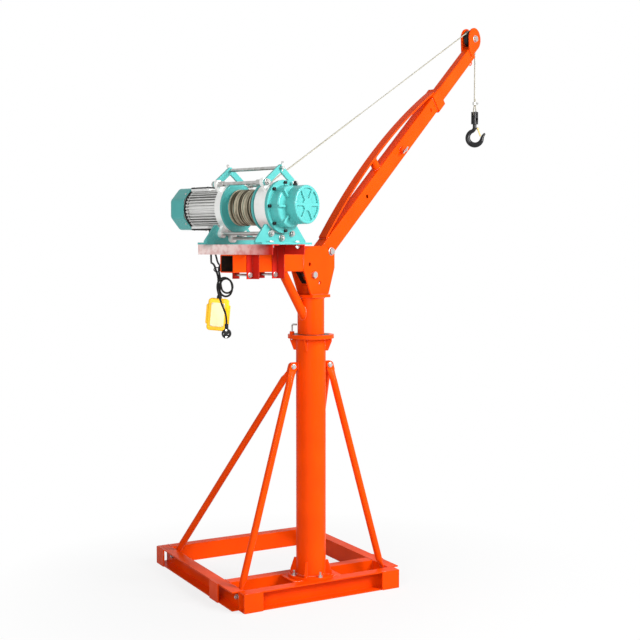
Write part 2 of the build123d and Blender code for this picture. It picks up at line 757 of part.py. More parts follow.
strut_top = Vector(STRUT_TOP_X, 0, BEAM_TOP_Z - BEAM_W)
strut_foot = Vector(-upper_r, 0, STRUT_FOOT_Z)
strut_dir = (strut_top - strut_foot).normalized()
with BuildPart() as strut:
    with BuildSketch(Plane(origin=strut_foot - strut_dir * STRUT_OD, z_dir=strut_dir)):
        Circle(STRUT_OD / 2)
        Circle(STRUT_OD / 2 - STRUT_WALL, mode=Mode.SUBTRACT)
    extrude(amount=(strut_top - strut_foot).length + 2 * STRUT_OD)
    split(bisect_by=Plane(origin=strut_top, z_dir=(0, 0, 1)), keep=Keep.BOTTOM)
    with BuildSketch(Plane.XY.offset(STRUT_FOOT_Z - 3 * STRUT_OD)):
        Circle(upper_r)
    extrude(amount=6 * STRUT_OD, mode=Mode.SUBTRACT)
    if len(strut.solids()) > 1:
        strut.part = Part([strut.solids().sort_by(SortBy.VOLUME)[-1]])
finish(strut, "beam_strut")

# Winch platform: two angle rails clamped over the beam

rail_top_z = BEAM_TOP_Z + RAIL_LEG
rail_bolt_inset = RAIL_LEG / 2
housing_left_y = DRUM_LEFT_Y + DRUM_GAP
housing_right_y = DRUM_RIGHT_Y - DRUM_GAP
gear_flange_y = housing_right_y - GEAR_HOUSING_L
ear_left_y = housing_left_y + END_HOUSING_T
ear_right_y = gear_flange_y + EAR_SET_BACK
foot_bolt_y = (ear_left_y + FOOT_BOLT_OUT, ear_right_y - FOOT_BOLT_OUT)
rail_lines = ((REAR_RAIL_X, 1), (FRONT_RAIL_X, -1))
rails = []
for rail_x, inward in rail_lines:
    with BuildPart() as rail:
        leg_x = rail_x + inward * RAIL_LEG
        inner_x = rail_x + inward * RAIL_T
        inner_z = rail_top_z - RAIL_T
        with BuildSketch(Plane.XZ.offset(-RAIL_NEAR_Y - RAIL_L)):
            with BuildLine():
                Polyline(
                    (rail_x, BEAM_TOP_Z), (rail_x, rail_top_z), (leg_x, rail_top_z), (leg_x, inner_z),
                    (inner_x, inner_z), (inner_x, BEAM_TOP_Z), close=True,
                )
            make_face()
        extrude(amount=RAIL_L)
        for bolt_y in foot_bolt_y:
            drill(
                Vector(rail_x + inward * rail_bolt_inset, bolt_y, rail_top_z), UP,
                FOOT_BOLT_D + HOLE_FIT, 4 * RAIL_T,
            )
    rails.append(rail)
group(rails, "platform_rails")


def clamp_angle(x, side):
    """An angle that hangs from a rail down the side of the beam, its free leg standing out."""
    face_y = side * BEAM_W / 2
    tip_y = face_y + side * CLAMP_LEG
    back_y = face_y + side * RAIL_T
    end_x = x + CLAMP_LEG
    top_z = rail_top_z - RAIL_T
    with BuildPart() as angle:
        with BuildSketch(Plane.XY.offset(top_z - CLAMP_DROP - RAIL_LEG)):
            with BuildLine():
                Polyline(
                    (x, face_y), (end_x, face_y), (end_x, tip_y), (end_x - RAIL_T, tip_y),
                    (end_x - RAIL_T, back_y), (x, back_y), close=True,
                )
            make_face()
        extrude(amount=CLAMP_DROP + RAIL_LEG)
        drill(Vector(x + CLAMP_LEG / 2 - RAIL_T / 2, face_y, clamp_bolt_z), Vector(0, 1, 0),
              CLAMP_BOLT_D + HOLE_FIT, 4 * RAIL_T)
    return angle


clamp_bolt_z = BEAM_TOP_Z - BEAM_W - CLAMP_BOLT_D
clamp_rear_x = REAR_RAIL_X + RAIL_T
clamp_front_x = FRONT_RAIL_X - RAIL_T - CLAMP_LEG
clamp_half = BEAM_W / 2 + RAIL_T
clamps = []
platform_bolts = []
for clamp_x in (clamp_rear_x, clamp_front_x):
    clamps += [clamp_angle(clamp_x, side) for side in (-1, 1)]
    clamp_bolt = Vector(clamp_x + CLAMP_LEG / 2 - RAIL_T / 2, -clamp_half, clamp_bolt_z)
    platform_bolts.append(bolt(clamp_bolt, Vector(0, 1, 0), CLAMP_BOLT_D, 2 * clamp_half, BOLT_TAIL))
group(clamps, "clamp_angles")

# Winch frame: end housings, feet, tie rods and hanging brackets


def winch_plane(y):
    """A plane across the winch axis, its x along the boom and its z towards the gearbox."""
    return Plane(origin=(WINCH_X, y, WINCH_Z), x_dir=(1, 0, 0), z_dir=(0, -1, 0))


ROD_SPOTS = (
    (-ROD_HIGH_X, ROD_HIGH_Z), (ROD_HIGH_X, ROD_HIGH_Z),
    (-ROD_LOW_X, ROD_LOW_Z), (ROD_LOW_X, ROD_LOW_Z), (0, ROD_MID_Z),
)


def housing(y, length, ear_y, ear_length):
    """A cast end housing: a round drum bored for the shaft, with a plate of ears for the tie rods."""
    with BuildPart() as casting:
        with BuildSketch(winch_plane(ear_y)):
            for spot_x, spot_z in ROD_SPOTS:
                reach = hypot(spot_x, spot_z)
                with Locations(Location((spot_x / 2, spot_z / 2, 0), degrees(atan2(spot_z, spot_x)))):
                    Rectangle(reach, 2 * EAR_R)
                with Locations((spot_x, spot_z)):
                    Circle(EAR_R)
            with Locations(*ROD_SPOTS):
                Circle(ROD_D / 2, mode=Mode.SUBTRACT)
        extrude(amount=ear_length)
        with BuildSketch(winch_plane(y)):
            Circle(HOUSING_R)
        extrude(amount=length)
        with BuildSketch(winch_plane(y)):
            Circle(SHAFT_D / 2 + FREE_FIT)
        extrude(amount=length, mode=Mode.SUBTRACT)
    return casting


group([
    housing(ear_left_y, END_HOUSING_T, ear_left_y, EAR_T),
    housing(housing_right_y, GEAR_HOUSING_L, ear_right_y + EAR_T, EAR_T),
], "winch_housings")

rod_end_left = ear_left_y + FOOT_T
rod_end_right = ear_right_y - FOOT_T


def tie_rod(spot, sleeved):
    """A rod across the winch between its housings, with a nut at each end and, if asked, spacer sleeves."""
    with BuildPart() as rod:
        with BuildSketch(winch_plane(rod_end_left + ROD_NUT_H + BOLT_TAIL)):
            with Locations(spot):
                Circle(ROD_D / 2)
        extrude(amount=rod_end_left - rod_end_right + 2 * (ROD_NUT_H + BOLT_TAIL))
        for nut_y in (rod_end_left + ROD_NUT_H, rod_end_right):
            with BuildSketch(winch_plane(nut_y)):
                with Locations(spot):
                    RegularPolygon(0.9 * ROD_D, 6)
            extrude(amount=ROD_NUT_H)
        if sleeved:
            for sleeve_y in (ear_left_y - EAR_T, ear_right_y + EAR_T + SLEEVE_L):
                with BuildSketch(winch_plane(sleeve_y)):
                    with Locations(spot):
                        Circle(SLEEVE_D / 2)
                extrude(amount=SLEEVE_L)
    return rod


winch_rods = [tie_rod(spot, True) for spot in ROD_SPOTS[:2]]
winch_rods += [tie_rod(spot, False) for spot in ROD_SPOTS[2:]]


def hanging_bracket(y):
    """An inverted V of plate that joins two upper tie rods to the hanging rod."""
    with BuildPart() as bracket:
        with BuildSketch(winch_plane(y)):
            for sign in (-1, 1):
                lean = degrees(atan2(HANG_Z - ROD_HIGH_Z, -sign * ROD_HIGH_X))
                reach = hypot(HANG_Z - ROD_HIGH_Z, ROD_HIGH_X)
                middle = (sign * ROD_HIGH_X / 2, (HANG_Z + ROD_HIGH_Z) / 2)
                with Locations(Location((*middle, 0), lean)):
                    Rectangle(reach, BRACKET_W)
            with Locations((0, HANG_Z), *ROD_SPOTS[:2]):
                Circle(BRACKET_W / 2)
            with Locations((0, HANG_Z), *ROD_SPOTS[:2]):
                Circle(ROD_D / 2, mode=Mode.SUBTRACT)
        extrude(amount=FOOT_T)
    return bracket


group([hanging_bracket(rod_end_left), hanging_bracket(ear_right_y)], "hanging_brackets")

split_pin_y = (rod_end_left + SPLIT_PIN_IN, rod_end_right - SPLIT_PIN_IN)
hang_z = WINCH_Z + HANG_Z
with BuildPart() as hanging_rod:
    with BuildSketch(winch_plane(rod_end_left + HANG_END)):
        with Locations((0, HANG_Z)):
            Circle(ROD_D / 2)
    extrude(amount=rod_end_left - rod_end_right + 2 * HANG_END)
    for pin_y in split_pin_y:
        drill(Vector(WINCH_X, pin_y, hang_z), UP, SPLIT_PIN_D + HOLE_FIT, 3 * ROD_D)
winch_rods.append(hanging_rod)

for pin_y in split_pin_y:
    ring_z = hang_z + SPLIT_PIN_L / 2 + SPLIT_RING_D / 3
    with BuildPart() as split_pin:
        with BuildSketch(Plane.XY.offset(hang_z - SPLIT_PIN_L / 2)):
            with Locations((WINCH_X, pin_y)):
                Circle(SPLIT_PIN_D / 2)
        extrude(amount=SPLIT_PIN_L)
        with BuildSketch(Plane(origin=(WINCH_X, pin_y, ring_z), z_dir=(0, 1, 0))):
            Circle(SPLIT_RING_D / 2)
            Circle(SPLIT_RING_D / 4, mode=Mode.SUBTRACT)
        extrude(amount=SPLIT_RING_T / 2, both=True)
    winch_rods.append(split_pin)
group(winch_rods, "winch_rods")


def winch_foot(plate_y, side, bolt_y):
    """A bent foot: a plate with a hollowed top on the lower ears, and a flange bolted to both rails."""
    floor = rail_top_z - WINCH_Z
    shoulder_z = floor + FOOT_RISE
    edge_z = floor + FOOT_EDGE
    with BuildPart() as foot:
        with BuildSketch(winch_plane(plate_y)):
            with BuildLine():
                Polyline(
                    (-FOOT_HALF, floor), (FOOT_HALF, floor), (FOOT_HALF, edge_z), (FOOT_SHOULDER, shoulder_z),
                    (-FOOT_SHOULDER, shoulder_z), (-FOOT_HALF, edge_z), close=True,
                )
            make_face()
            Circle(HOUSING_R + EAR_R / 2, mode=Mode.SUBTRACT)
            with Locations(*ROD_SPOTS[2:]):
                Circle(ROD_D / 2, mode=Mode.SUBTRACT)
        extrude(amount=-side * FOOT_T)
        with BuildSketch(Plane.XY.offset(rail_top_z)):
            with Locations((WINCH_X, plate_y + side * FOOT_FLANGE / 2)):
                RectangleRounded(2 * FOOT_HALF, FOOT_FLANGE, FOOT_T / 2)
        extrude(amount=FOOT_T)
        for rail_x, inward in rail_lines:
            bolt_spot = Vector(rail_x + inward * rail_bolt_inset, bolt_y, rail_top_z)
            drill(bolt_spot, UP, FOOT_BOLT_D + HOLE_FIT, 4 * FOOT_T)
    return foot


winch_feet = [winch_foot(ear_left_y, 1, foot_bolt_y[0]), winch_foot(ear_right_y, -1, foot_bolt_y[1])]
group(winch_feet, "winch_feet")

for bolt_y in foot_bolt_y:
    for rail_x, inward in rail_lines:
        foot_bolt = Vector(rail_x + inward * rail_bolt_inset, bolt_y, rail_top_z + FOOT_T)
        platform_bolts.append(bolt(foot_bolt, -UP, FOOT_BOLT_D, FOOT_T + RAIL_T, BOLT_TAIL))
group(platform_bolts, "platform_bolts")

# Motor: finned body, black covers and a fan under its cover

motor_y = ear_left_y
motor_end_y = motor_y + MOTOR_L
with BuildPart() as motor_body:
    with BuildSketch(winch_plane(motor_end_y)):
        Circle(MOTOR_R)
        with PolarLocations(MOTOR_R + (FIN_H - FIN_ROOT) / 2, FIN_COUNT):
            Rectangle(FIN_H + FIN_ROOT, FIN_T)
    extrude(amount=MOTOR_L)
    for ring_y in (motor_end_y, motor_y + MOTOR_RING_L):
        with BuildSketch(winch_plane(ring_y)):
            Circle(MOTOR_R + FIN_H)
        extrude(amount=MOTOR_RING_L)
    with BuildSketch(winch_plane(motor_end_y + SHIELD_T)):
        Circle(FAN_COVER_R - FAN_COVER_WALL - FREE_FIT)
    extrude(amount=SHIELD_T)
finish(motor_body, "motor_body")

with BuildPart() as fan:
    with BuildSketch(winch_plane(motor_end_y + FAN_SHAFT_L)):
        Circle(SHAFT_D / 4)
    extrude(amount=FAN_SHAFT_L - SHIELD_T - HOLE_FIT)
    with BuildSketch(winch_plane(motor_end_y + FAN_HUB_OUT)):
        Circle(FAN_HUB_D / 2)
    extrude(amount=FAN_HUB_L)
    with BuildSketch(winch_plane(motor_end_y + FAN_HUB_OUT + FAN_BLADE_RISE)):
        with PolarLocations((FAN_BLADE_IN + FAN_BLADE_OUT) / 2, FAN_BLADES):
            Rectangle(FAN_BLADE_OUT - FAN_BLADE_IN, FAN_BLADE_T)
    extrude(amount=FAN_BLADE_L)
finish(fan, "motor_fan")

with BuildPart() as fan_cover:
    with BuildSketch(winch_plane(motor_end_y)) as cover_rim:
        RegularPolygon(FAN_COVER_R, 8, major_radius=False, rotation=22.5)
    extrude(amount=-FAN_COVER_L)
    fillet(fan_cover.edges().filter_by(Axis.Y), FAN_COVER_CORNER)
    fillet(fan_cover.faces().sort_by(Axis.Y)[-1].edges(), FAN_COVER_ROUND)
    offset(amount=-FAN_COVER_WALL, openings=fan_cover.faces().sort_by(Axis.Y)[0])
    with BuildSketch(winch_plane(motor_end_y + FAN_COVER_L)):
        for vent_row in range(-VENT_ROWS, VENT_ROWS + 1):
            vent_half = sqrt(VENT_R**2 - (VENT_STEP * vent_row) ** 2)
            with Locations((0, VENT_STEP * vent_row)):
                SlotOverall(2 * vent_half, VENT_W)
    extrude(amount=3 * FAN_COVER_WALL, mode=Mode.SUBTRACT)
finish(fan_cover, "fan_cover")

covers = []
for cover_sign in (-1, 1):
    with BuildPart() as cover:
        with BuildSketch(winch_plane(motor_end_y - COVER_BACK)):
            with Locations((0, cover_sign * (MOTOR_R + FIN_H + COVER_LIFT))):
                RectangleRounded(COVER_W, COVER_H, COVER_CORNER)
            Circle(MOTOR_R + FIN_H + SEAT_FIT, mode=Mode.SUBTRACT)
        extrude(amount=COVER_L)
    covers.append(cover)
group(covers, "motor_covers")

# Gearbox: flanged cover, round end cover with ribs, breather and screws

cover_face_y = gear_flange_y - GEAR_FLANGE_T
screw_rads = [pi / 2 + pi * number / (GEAR_SCREW_COUNT - 1) for number in range(GEAR_SCREW_COUNT)]
gear_screws = [(GEAR_SCREW_R * cos(angle), GEAR_SCREW_R * sin(angle)) for angle in screw_rads]
with BuildPart() as gear_cover:
    with BuildSketch(winch_plane(gear_flange_y)):
        Circle(GEAR_FLANGE_R)
    extrude(amount=GEAR_FLANGE_T)
    with BuildSketch(winch_plane(cover_face_y)):
        Circle(GEAR_COVER_R)
    extrude(amount=GEAR_COVER_L, taper=GEAR_COVER_SLOPE)
    fillet(gear_cover.faces().sort_by(Axis.Y)[0].edges(), GEAR_COVER_ROUND)
    with BuildSketch(winch_plane(cover_face_y)):
        rib_mid = (GEAR_RIB_IN + GEAR_RIB_OUT) / 2
        for rib_deg in GEAR_RIB_DEGS:
            rib_spot = (rib_mid * cos(radians(rib_deg)), rib_mid * sin(radians(rib_deg)), 0)
            with Locations(Location(rib_spot, rib_deg)):
                Rectangle(GEAR_RIB_OUT - GEAR_RIB_IN, GEAR_RIB_W)
    extrude(amount=GEAR_COVER_L + GEAR_RIB_PROUD)
    with BuildSketch(winch_plane(cover_face_y)):
        with Locations((BULGE_X, BULGE_Z)):
            Circle(BULGE_R)
    extrude(amount=GEAR_COVER_L + BULGE_STEP)
    with BuildSketch(winch_plane(gear_flange_y)):
        with Locations(*gear_screws):
            Circle(GEAR_SCREW_D / 2)
    extrude(amount=GEAR_FLANGE_T, mode=Mode.SUBTRACT)
finish(gear_cover, "gearbox_cover")

bulge_y = cover_face_y - GEAR_COVER_L - BULGE_STEP
spoke_out = BULGE_R - BULGE_RIM
with BuildPart() as end_cover:
    with BuildSketch(winch_plane(bulge_y)):
        with Locations((BULGE_X, BULGE_Z)):
            Circle(BULGE_R)
    extrude(amount=BULGE_L)
    fillet(end_cover.faces().sort_by(Axis.Y)[0].edges(), BULGE_ROUND)
    with BuildSketch(winch_plane(bulge_y - BULGE_L)):
        with Locations((BULGE_X, BULGE_Z)):
            Circle(spoke_out)
            Circle(BULGE_HUB_R, mode=Mode.SUBTRACT)
            with PolarLocations((spoke_out + BULGE_HUB_R) / 2, BULGE_SPOKES):
                Rectangle(BULGE_R, BULGE_SPOKE_W, mode=Mode.SUBTRACT)
    extrude(amount=-BULGE_SINK, mode=Mode.SUBTRACT)
finish(end_cover, "gearbox_end_cover")

fittings = []
for screw_spot in gear_screws:
    with BuildPart() as screw:
        with BuildSketch(winch_plane(gear_flange_y)):
            with Locations(screw_spot):
                Circle(GEAR_SCREW_D / 2)
        extrude(amount=GEAR_FLANGE_T)
        with BuildSketch(winch_plane(cover_face_y)):
            with Locations(screw_spot):
                Circle(0.8 * GEAR_SCREW_D)
        extrude(amount=GEAR_SCREW_D)
    fittings.append(screw)

breather_y = cover_face_y - GEAR_COVER_L / 2
breather_z = WINCH_Z + BULGE_Z + BULGE_R
with BuildPart() as breather:
    with BuildSketch(Plane(origin=(WINCH_X + BULGE_X, breather_y, breather_z))):
        RegularPolygon(BREATHER_R, 6)
    extrude(amount=BREATHER_H)
    with BuildSketch(Plane(origin=(WINCH_X + BULGE_X, breather_y, breather_z + BREATHER_H))):
        Circle(BREATHER_CAP_R)
    extrude(amount=BREATHER_H)
fittings.append(breather)
group(fittings, "gearbox_fittings")

# Drum with its shaft and the outer layer of rope

with BuildPart() as drum:
    for flange_y in (DRUM_LEFT_Y, DRUM_RIGHT_Y + DRUM_FLANGE_T):
        with BuildSketch(winch_plane(flange_y)):
            Circle(DRUM_FLANGE_R)
        extrude(amount=DRUM_FLANGE_T)
    with BuildSketch(winch_plane(DRUM_LEFT_Y)):
        Circle(WIND_R - ROPE_D / 2 - FREE_FIT)
    extrude(amount=DRUM_LEFT_Y - DRUM_RIGHT_Y)
    with BuildSketch(winch_plane(ear_left_y - DRUM_GAP)):
        Circle(SHAFT_D / 2)
    extrude(amount=ear_left_y - gear_flange_y - 2 * DRUM_GAP)
finish(drum, "rope_drum")

# Boom: main tube with a bowed strap, its post, the end collar and the lock screw

pivot = Vector(PIVOT_X, 0, PIVOT_Z)
boom_x = Vector(cos(radians(LUFF_DEG)), 0, sin(radians(LUFF_DEG)))
boom_z = Vector(-sin(radians(LUFF_DEG)), 0, cos(radians(LUFF_DEG)))
boom_side = Plane(origin=pivot, x_dir=boom_x, z_dir=(0, -1, 0))
boom_top = BOOM_UP + BOOM_H / 2


def boom_point(x, y, z):
    """A point given along the boom, across it and square to it."""
    return pivot + boom_x * x + Vector(0, y, 0) + boom_z * z


def boom_section(x):
    """A plane square to the boom, its x across the boom."""
    return Plane(origin=boom_point(x, 0, 0), x_dir=(0, 1, 0), z_dir=boom_x)


screw_seat = Plane(origin=boom_point(LOCK_SCREW_X, -BOOM_W / 2, BOOM_UP), z_dir=(0, -1, 0))
with BuildPart() as boom_tube:
    with BuildSketch(boom_section(-BOOM_HEEL)):
        with Locations((0, BOOM_UP)):
            RectangleRounded(BOOM_W, BOOM_H, BOOM_WALL)
            Rectangle(BOOM_W - 2 * BOOM_WALL, BOOM_H - 2 * BOOM_WALL, mode=Mode.SUBTRACT)
    extrude(amount=BOOM_HEEL + BOOM_L)
    with BuildSketch(boom_side):
        Circle(PIN_D)
    extrude(amount=CHEEK_GAP / 2 - FREE_FIT, both=True)
    with BuildSketch(boom_side):
        Circle(PIN_D / 2 + FREE_FIT)
        with Locations((-PIN_ARC_R, 0)):
            Circle(PIN_D / 2 + HOLE_FIT)
        with Locations((-PIN_ARC_R + SADDLE_SWEEP / 2, boom_top)):
            Rectangle(PIN_D + 2 * HOLE_FIT + SADDLE_SWEEP, 2 * boom_top)
        for hole_x in SIDE_HOLES_X:
            with Locations((hole_x, BOOM_UP)):
                Circle(SIDE_HOLE_D / 2)
    extrude(amount=BOOM_W, both=True, mode=Mode.SUBTRACT)
    with BuildSketch(screw_seat):
        RegularPolygon(PIN_D, 6)
    extrude(amount=SCREW_NUT_T)
    with BuildSketch(screw_seat):
        Circle(SCREW_D / 2 + FREE_FIT)
    extrude(amount=2 * SCREW_NUT_T, both=True, mode=Mode.SUBTRACT)
finish(boom_tube, "boom_tube")

strap_end_x = BOOM_L - COLLAR_L / 2
strap_end_z = boom_top + COLLAR_T / 2
with BuildPart() as stiffener:
    with BuildSketch(boom_side):
        with BuildLine():
            ThreePointArc(
                (STRAP_FOOT_X, boom_top), (POST_X, boom_top + STRAP_RISE), (strap_end_x, strap_end_z)
            )
            Line((strap_end_x, strap_end_z), (strap_end_x, strap_end_z + STRAP_T))
            ThreePointArc(
                (strap_end_x, strap_end_z + STRAP_T), (POST_X, boom_top + STRAP_RISE + STRAP_T),
                (STRAP_FOOT_X, boom_top + STRAP_T),
            )
            Line((STRAP_FOOT_X, boom_top + STRAP_T), (STRAP_FOOT_X, boom_top))
        make_face()
    extrude(amount=BOOM_W / 2 - BOOM_WALL, both=True)
    with BuildSketch(Plane(origin=boom_point(POST_X, 0, boom_top), z_dir=boom_z)):
        Circle(POST_D / 2)
        Circle(POST_D / 2 - STRUT_WALL, mode=Mode.SUBTRACT)
    extrude(amount=STRAP_RISE + STRAP_T / 2)
    with BuildSketch(boom_section(BOOM_L - COLLAR_L)):
        with Locations((0, BOOM_UP)):
            RectangleRounded(BOOM_W + 2 * COLLAR_T, BOOM_H + 2 * COLLAR_T, COLLAR_T)
            RectangleRounded(BOOM_W, BOOM_H, BOOM_WALL, mode=Mode.SUBTRACT)
    extrude(amount=COLLAR_L)
finish(stiffener, "boom_stiffener")

screw_end = SCREW_NUT_T + SCREW_OUT
with BuildPart() as lock_screw:
    with BuildSketch(screw_seat.offset(-(BOOM_W - EXT_W) / 2 + HOLE_FIT)):
        Circle(SCREW_D / 2)
    extrude(amount=(BOOM_W - EXT_W) / 2 - HOLE_FIT + screw_end)
    with BuildSketch(boom_section(LOCK_SCREW_X - SCREW_BAR_L / 2)):
        with Locations((-BOOM_W / 2 - screw_end + SCREW_BAR_D, BOOM_UP)):
            Circle(SCREW_BAR_D / 2)
    extrude(amount=SCREW_BAR_L)
finish(lock_screw, "boom_lock_screw")

# Extension with the sheave head

ring_top = BOOM_UP - EXT_H / 2
ring_root = ring_top + EXT_WALL / 2
ring_low = ring_top - RING_DROP
with BuildPart() as extension_tube:
    with BuildSketch(boom_section(EXT_TAIL_X)):
        with Locations((0, BOOM_UP)):
            RectangleRounded(EXT_W, EXT_H, EXT_WALL)
            Rectangle(EXT_W - 2 * EXT_WALL, EXT_H - 2 * EXT_WALL, mode=Mode.SUBTRACT)
    extrude(amount=EXT_END_X - EXT_TAIL_X)
    with BuildLine():
        FilletPolyline(
            boom_point(RING_X - RING_R, 0, ring_root), boom_point(RING_X - RING_R, 0, ring_low),
            boom_point(RING_X + RING_R, 0, ring_low), boom_point(RING_X + RING_R, 0, ring_root),
            radius=RING_CORNER,
        )
    with BuildSketch(Plane(origin=boom_point(RING_X - RING_R, 0, ring_root), z_dir=-boom_z)):
        Circle(RING_D / 2)
    sweep()
finish(extension_tube, "extension_tube")

guard_r = SHEAVE_R + GUARD_D / 2 + FREE_FIT + HOLE_FIT
guard_spot = (HEAD_X + guard_r * cos(radians(GUARD_DEG)), HEAD_Z + guard_r * sin(radians(GUARD_DEG)))
head_tail_z = BOOM_UP + EXT_H / 2 - EXT_WALL - HEAD_TAIL_W / 2
head_plates = []
for head_sign in (-1, 1):
    with BuildPart() as head_plate:
        head_face = boom_point(0, head_sign * EXT_W / 2, 0)
        with BuildSketch(Plane(origin=head_face, x_dir=boom_x, z_dir=(0, -1, 0))):
            with Locations((HEAD_X, HEAD_Z)):
                Circle(HEAD_R)
            with Locations((EXT_END_X - HEAD_TAIL / 2, head_tail_z)):
                Rectangle(HEAD_TAIL, HEAD_TAIL_W)
            make_hull()
            with Locations((HEAD_X, HEAD_Z)):
                Circle(PIN_D / 2, mode=Mode.SUBTRACT)
            with Locations(guard_spot):
                Circle(GUARD_D / 2, mode=Mode.SUBTRACT)
        extrude(amount=-head_sign * HEAD_T)
    head_plates.append(head_plate)
group(head_plates, "head_plates")

head_half = EXT_W / 2 + HEAD_T
head_centre = boom_point(HEAD_X, 0, HEAD_Z)
guard_point = boom_point(guard_spot[0], 0, guard_spot[1])
with BuildPart() as rope_guard:
    with BuildSketch(Plane(origin=guard_point - Vector(0, head_half + GUARD_D / 2, 0), z_dir=(0, 1, 0))):
        Circle(GUARD_D / 2)
    extrude(amount=2 * head_half + GUARD_D)
axle_seat = head_centre - Vector(0, head_half, 0)
sheave_axle = bolt(axle_seat, Vector(0, 1, 0), PIN_D, 2 * head_half, BOLT_TAIL)
group([sheave_axle, rope_guard], "head_pins")

hub_half = EXT_W / 2 - HOLE_FIT
groove_r = SHEAVE_PITCH_R - ROPE_D / 2 - FREE_FIT
bore_r = PIN_D / 2 + FREE_FIT
with BuildPart() as sheave:
    with BuildSketch(Plane.XY):
        with BuildLine():
            Polyline(
                (bore_r, -hub_half), (bore_r, hub_half),
                (SHEAVE_HUB_R, hub_half), (SHEAVE_HUB_R, SHEAVE_WEB / 2),
                (SHEAVE_RIM_R, SHEAVE_WEB / 2), (SHEAVE_RIM_R, SHEAVE_W / 2), (SHEAVE_R, SHEAVE_W / 2),
                (groove_r, ROPE_D / 2), (groove_r, -ROPE_D / 2), (SHEAVE_R, -SHEAVE_W / 2),
                (SHEAVE_RIM_R, -SHEAVE_W / 2), (SHEAVE_RIM_R, -SHEAVE_WEB / 2),
                (SHEAVE_HUB_R, -SHEAVE_WEB / 2),
                (SHEAVE_HUB_R, -hub_half), close=True,
            )
        make_face()
    revolve(axis=Axis.Y)
sheave.part = Pos(head_centre) * sheave.part
finish(sheave, "sheave")

# Rope: the winding on the drum, the taut span to the head, the wrap and the fall

winch_centre = Vector(WINCH_X, 0, WINCH_Z)
reach = head_centre - winch_centre
pitch_step = WIND_R - SHEAVE_PITCH_R
span_rad = atan2(reach.Z, reach.X) - atan2(pitch_step, sqrt(reach.length**2 - pitch_step**2))
span_flat = Vector(cos(span_rad), 0, sin(span_rad))
span_normal = Vector(-sin(span_rad), 0, cos(span_rad))
wind_end_y = WIND_START_Y - WIND_TURNS * WIND_PITCH
leave_point = winch_centre + span_normal * WIND_R + Vector(0, wind_end_y, 0)
arrive_point = head_centre + span_normal * SHEAVE_PITCH_R


def wind_point(turn):
    """A point of the winding, counted in turns back from where the rope leaves the drum."""
    angle = span_rad + pi / 2 + 2 * pi * turn
    return winch_centre + Vector(WIND_R * cos(angle), wind_end_y + WIND_PITCH * turn, WIND_R * sin(angle))


def wind_tangent(turn):
    """The way the rope runs there, towards the drum's free end."""
    angle = span_rad + pi / 2 + 2 * pi * turn
    return Vector(2 * pi * WIND_R * sin(angle), -WIND_PITCH, -2 * pi * WIND_R * cos(angle)).normalized()


def biarc(start, start_dir, end, end_dir):
    """Two tangent arcs between two points with given directions."""
    gap = end - start
    both = start_dir + end_dir
    spread = 2 * (1 - start_dir.dot(end_dir))
    along = gap.dot(both)
    size = (-along + sqrt(along**2 + spread * gap.dot(gap))) / spread
    joint = (start + end + (start_dir - end_dir) * size) / 2
    first = TangentArc(start, joint, tangent=start_dir)
    TangentArc(joint, end, tangent=first % 1)


wind_start = wind_point(WIND_TURNS)
wind_start_dir = wind_tangent(WIND_TURNS)
wind_tail = leave_point + wind_tangent(0) * ROPE_D
with BuildPart() as winding:
    with BuildLine() as wind_path:
        Line(wind_start - wind_start_dir * ROPE_D, wind_start)
        for half in range(2 * WIND_TURNS):
            turn_from = WIND_TURNS - half / 2
            turn_to = turn_from - 1 / 2
            biarc(wind_point(turn_from), wind_tangent(turn_from), wind_point(turn_to), wind_tangent(turn_to))
        Line(leave_point, wind_tail)
    with BuildSketch(Plane(origin=wind_start - wind_start_dir * ROPE_D, z_dir=wind_start_dir)):
        Circle(ROPE_D / 2)
    sweep()
finish(winding, "rope_winding")
turn_gap = WIND_PITCH * cos(atan2(WIND_PITCH, 2 * pi * WIND_R)) - ROPE_D
print("winding: least gap between turns", round(turn_gap, 2), "mm")

span_start = wind_tail + (arrive_point - wind_tail).normalized() * FREE_FIT
span_middle = span_start + (arrive_point - span_start) * SPAN_SPLIT


def straight_rope(start, end):
    """A straight length of rope."""
    with BuildPart() as run:
        with BuildSketch(Plane(origin=start, z_dir=(end - start).normalized())):
            Circle(ROPE_D / 2)
        extrude(amount=(end - start).length)
    return run


finish(straight_rope(span_start, span_middle), "rope_lower_span")

fall_x = head_centre.X + SHEAVE_PITCH_R
fall_top = Vector(fall_x, 0, head_centre.Z)
fall_end = fall_top - UP * FALL_L
span_run = (arrive_point - span_middle).normalized()
wrap_mid_rad = (span_rad + pi / 2) / 2
with BuildPart() as rope_wrap:
    with BuildLine():
        ThreePointArc(
            arrive_point, head_centre + Vector(cos(wrap_mid_rad), 0, sin(wrap_mid_rad)) * SHEAVE_PITCH_R,
            fall_top + UP * FREE_FIT,
        )
    with BuildSketch(Plane(origin=arrive_point, z_dir=span_flat)):
        Circle(ROPE_D / 2)
    sweep()
upper_run = straight_rope(span_middle + span_run * FREE_FIT, arrive_point - span_run * FREE_FIT)
group([upper_run, rope_wrap], "rope_upper_span")
finish(straight_rope(fall_top, fall_end), "rope_fall")

# Hook: rope eye and clip, swivel yoke, hook and its sprung latch

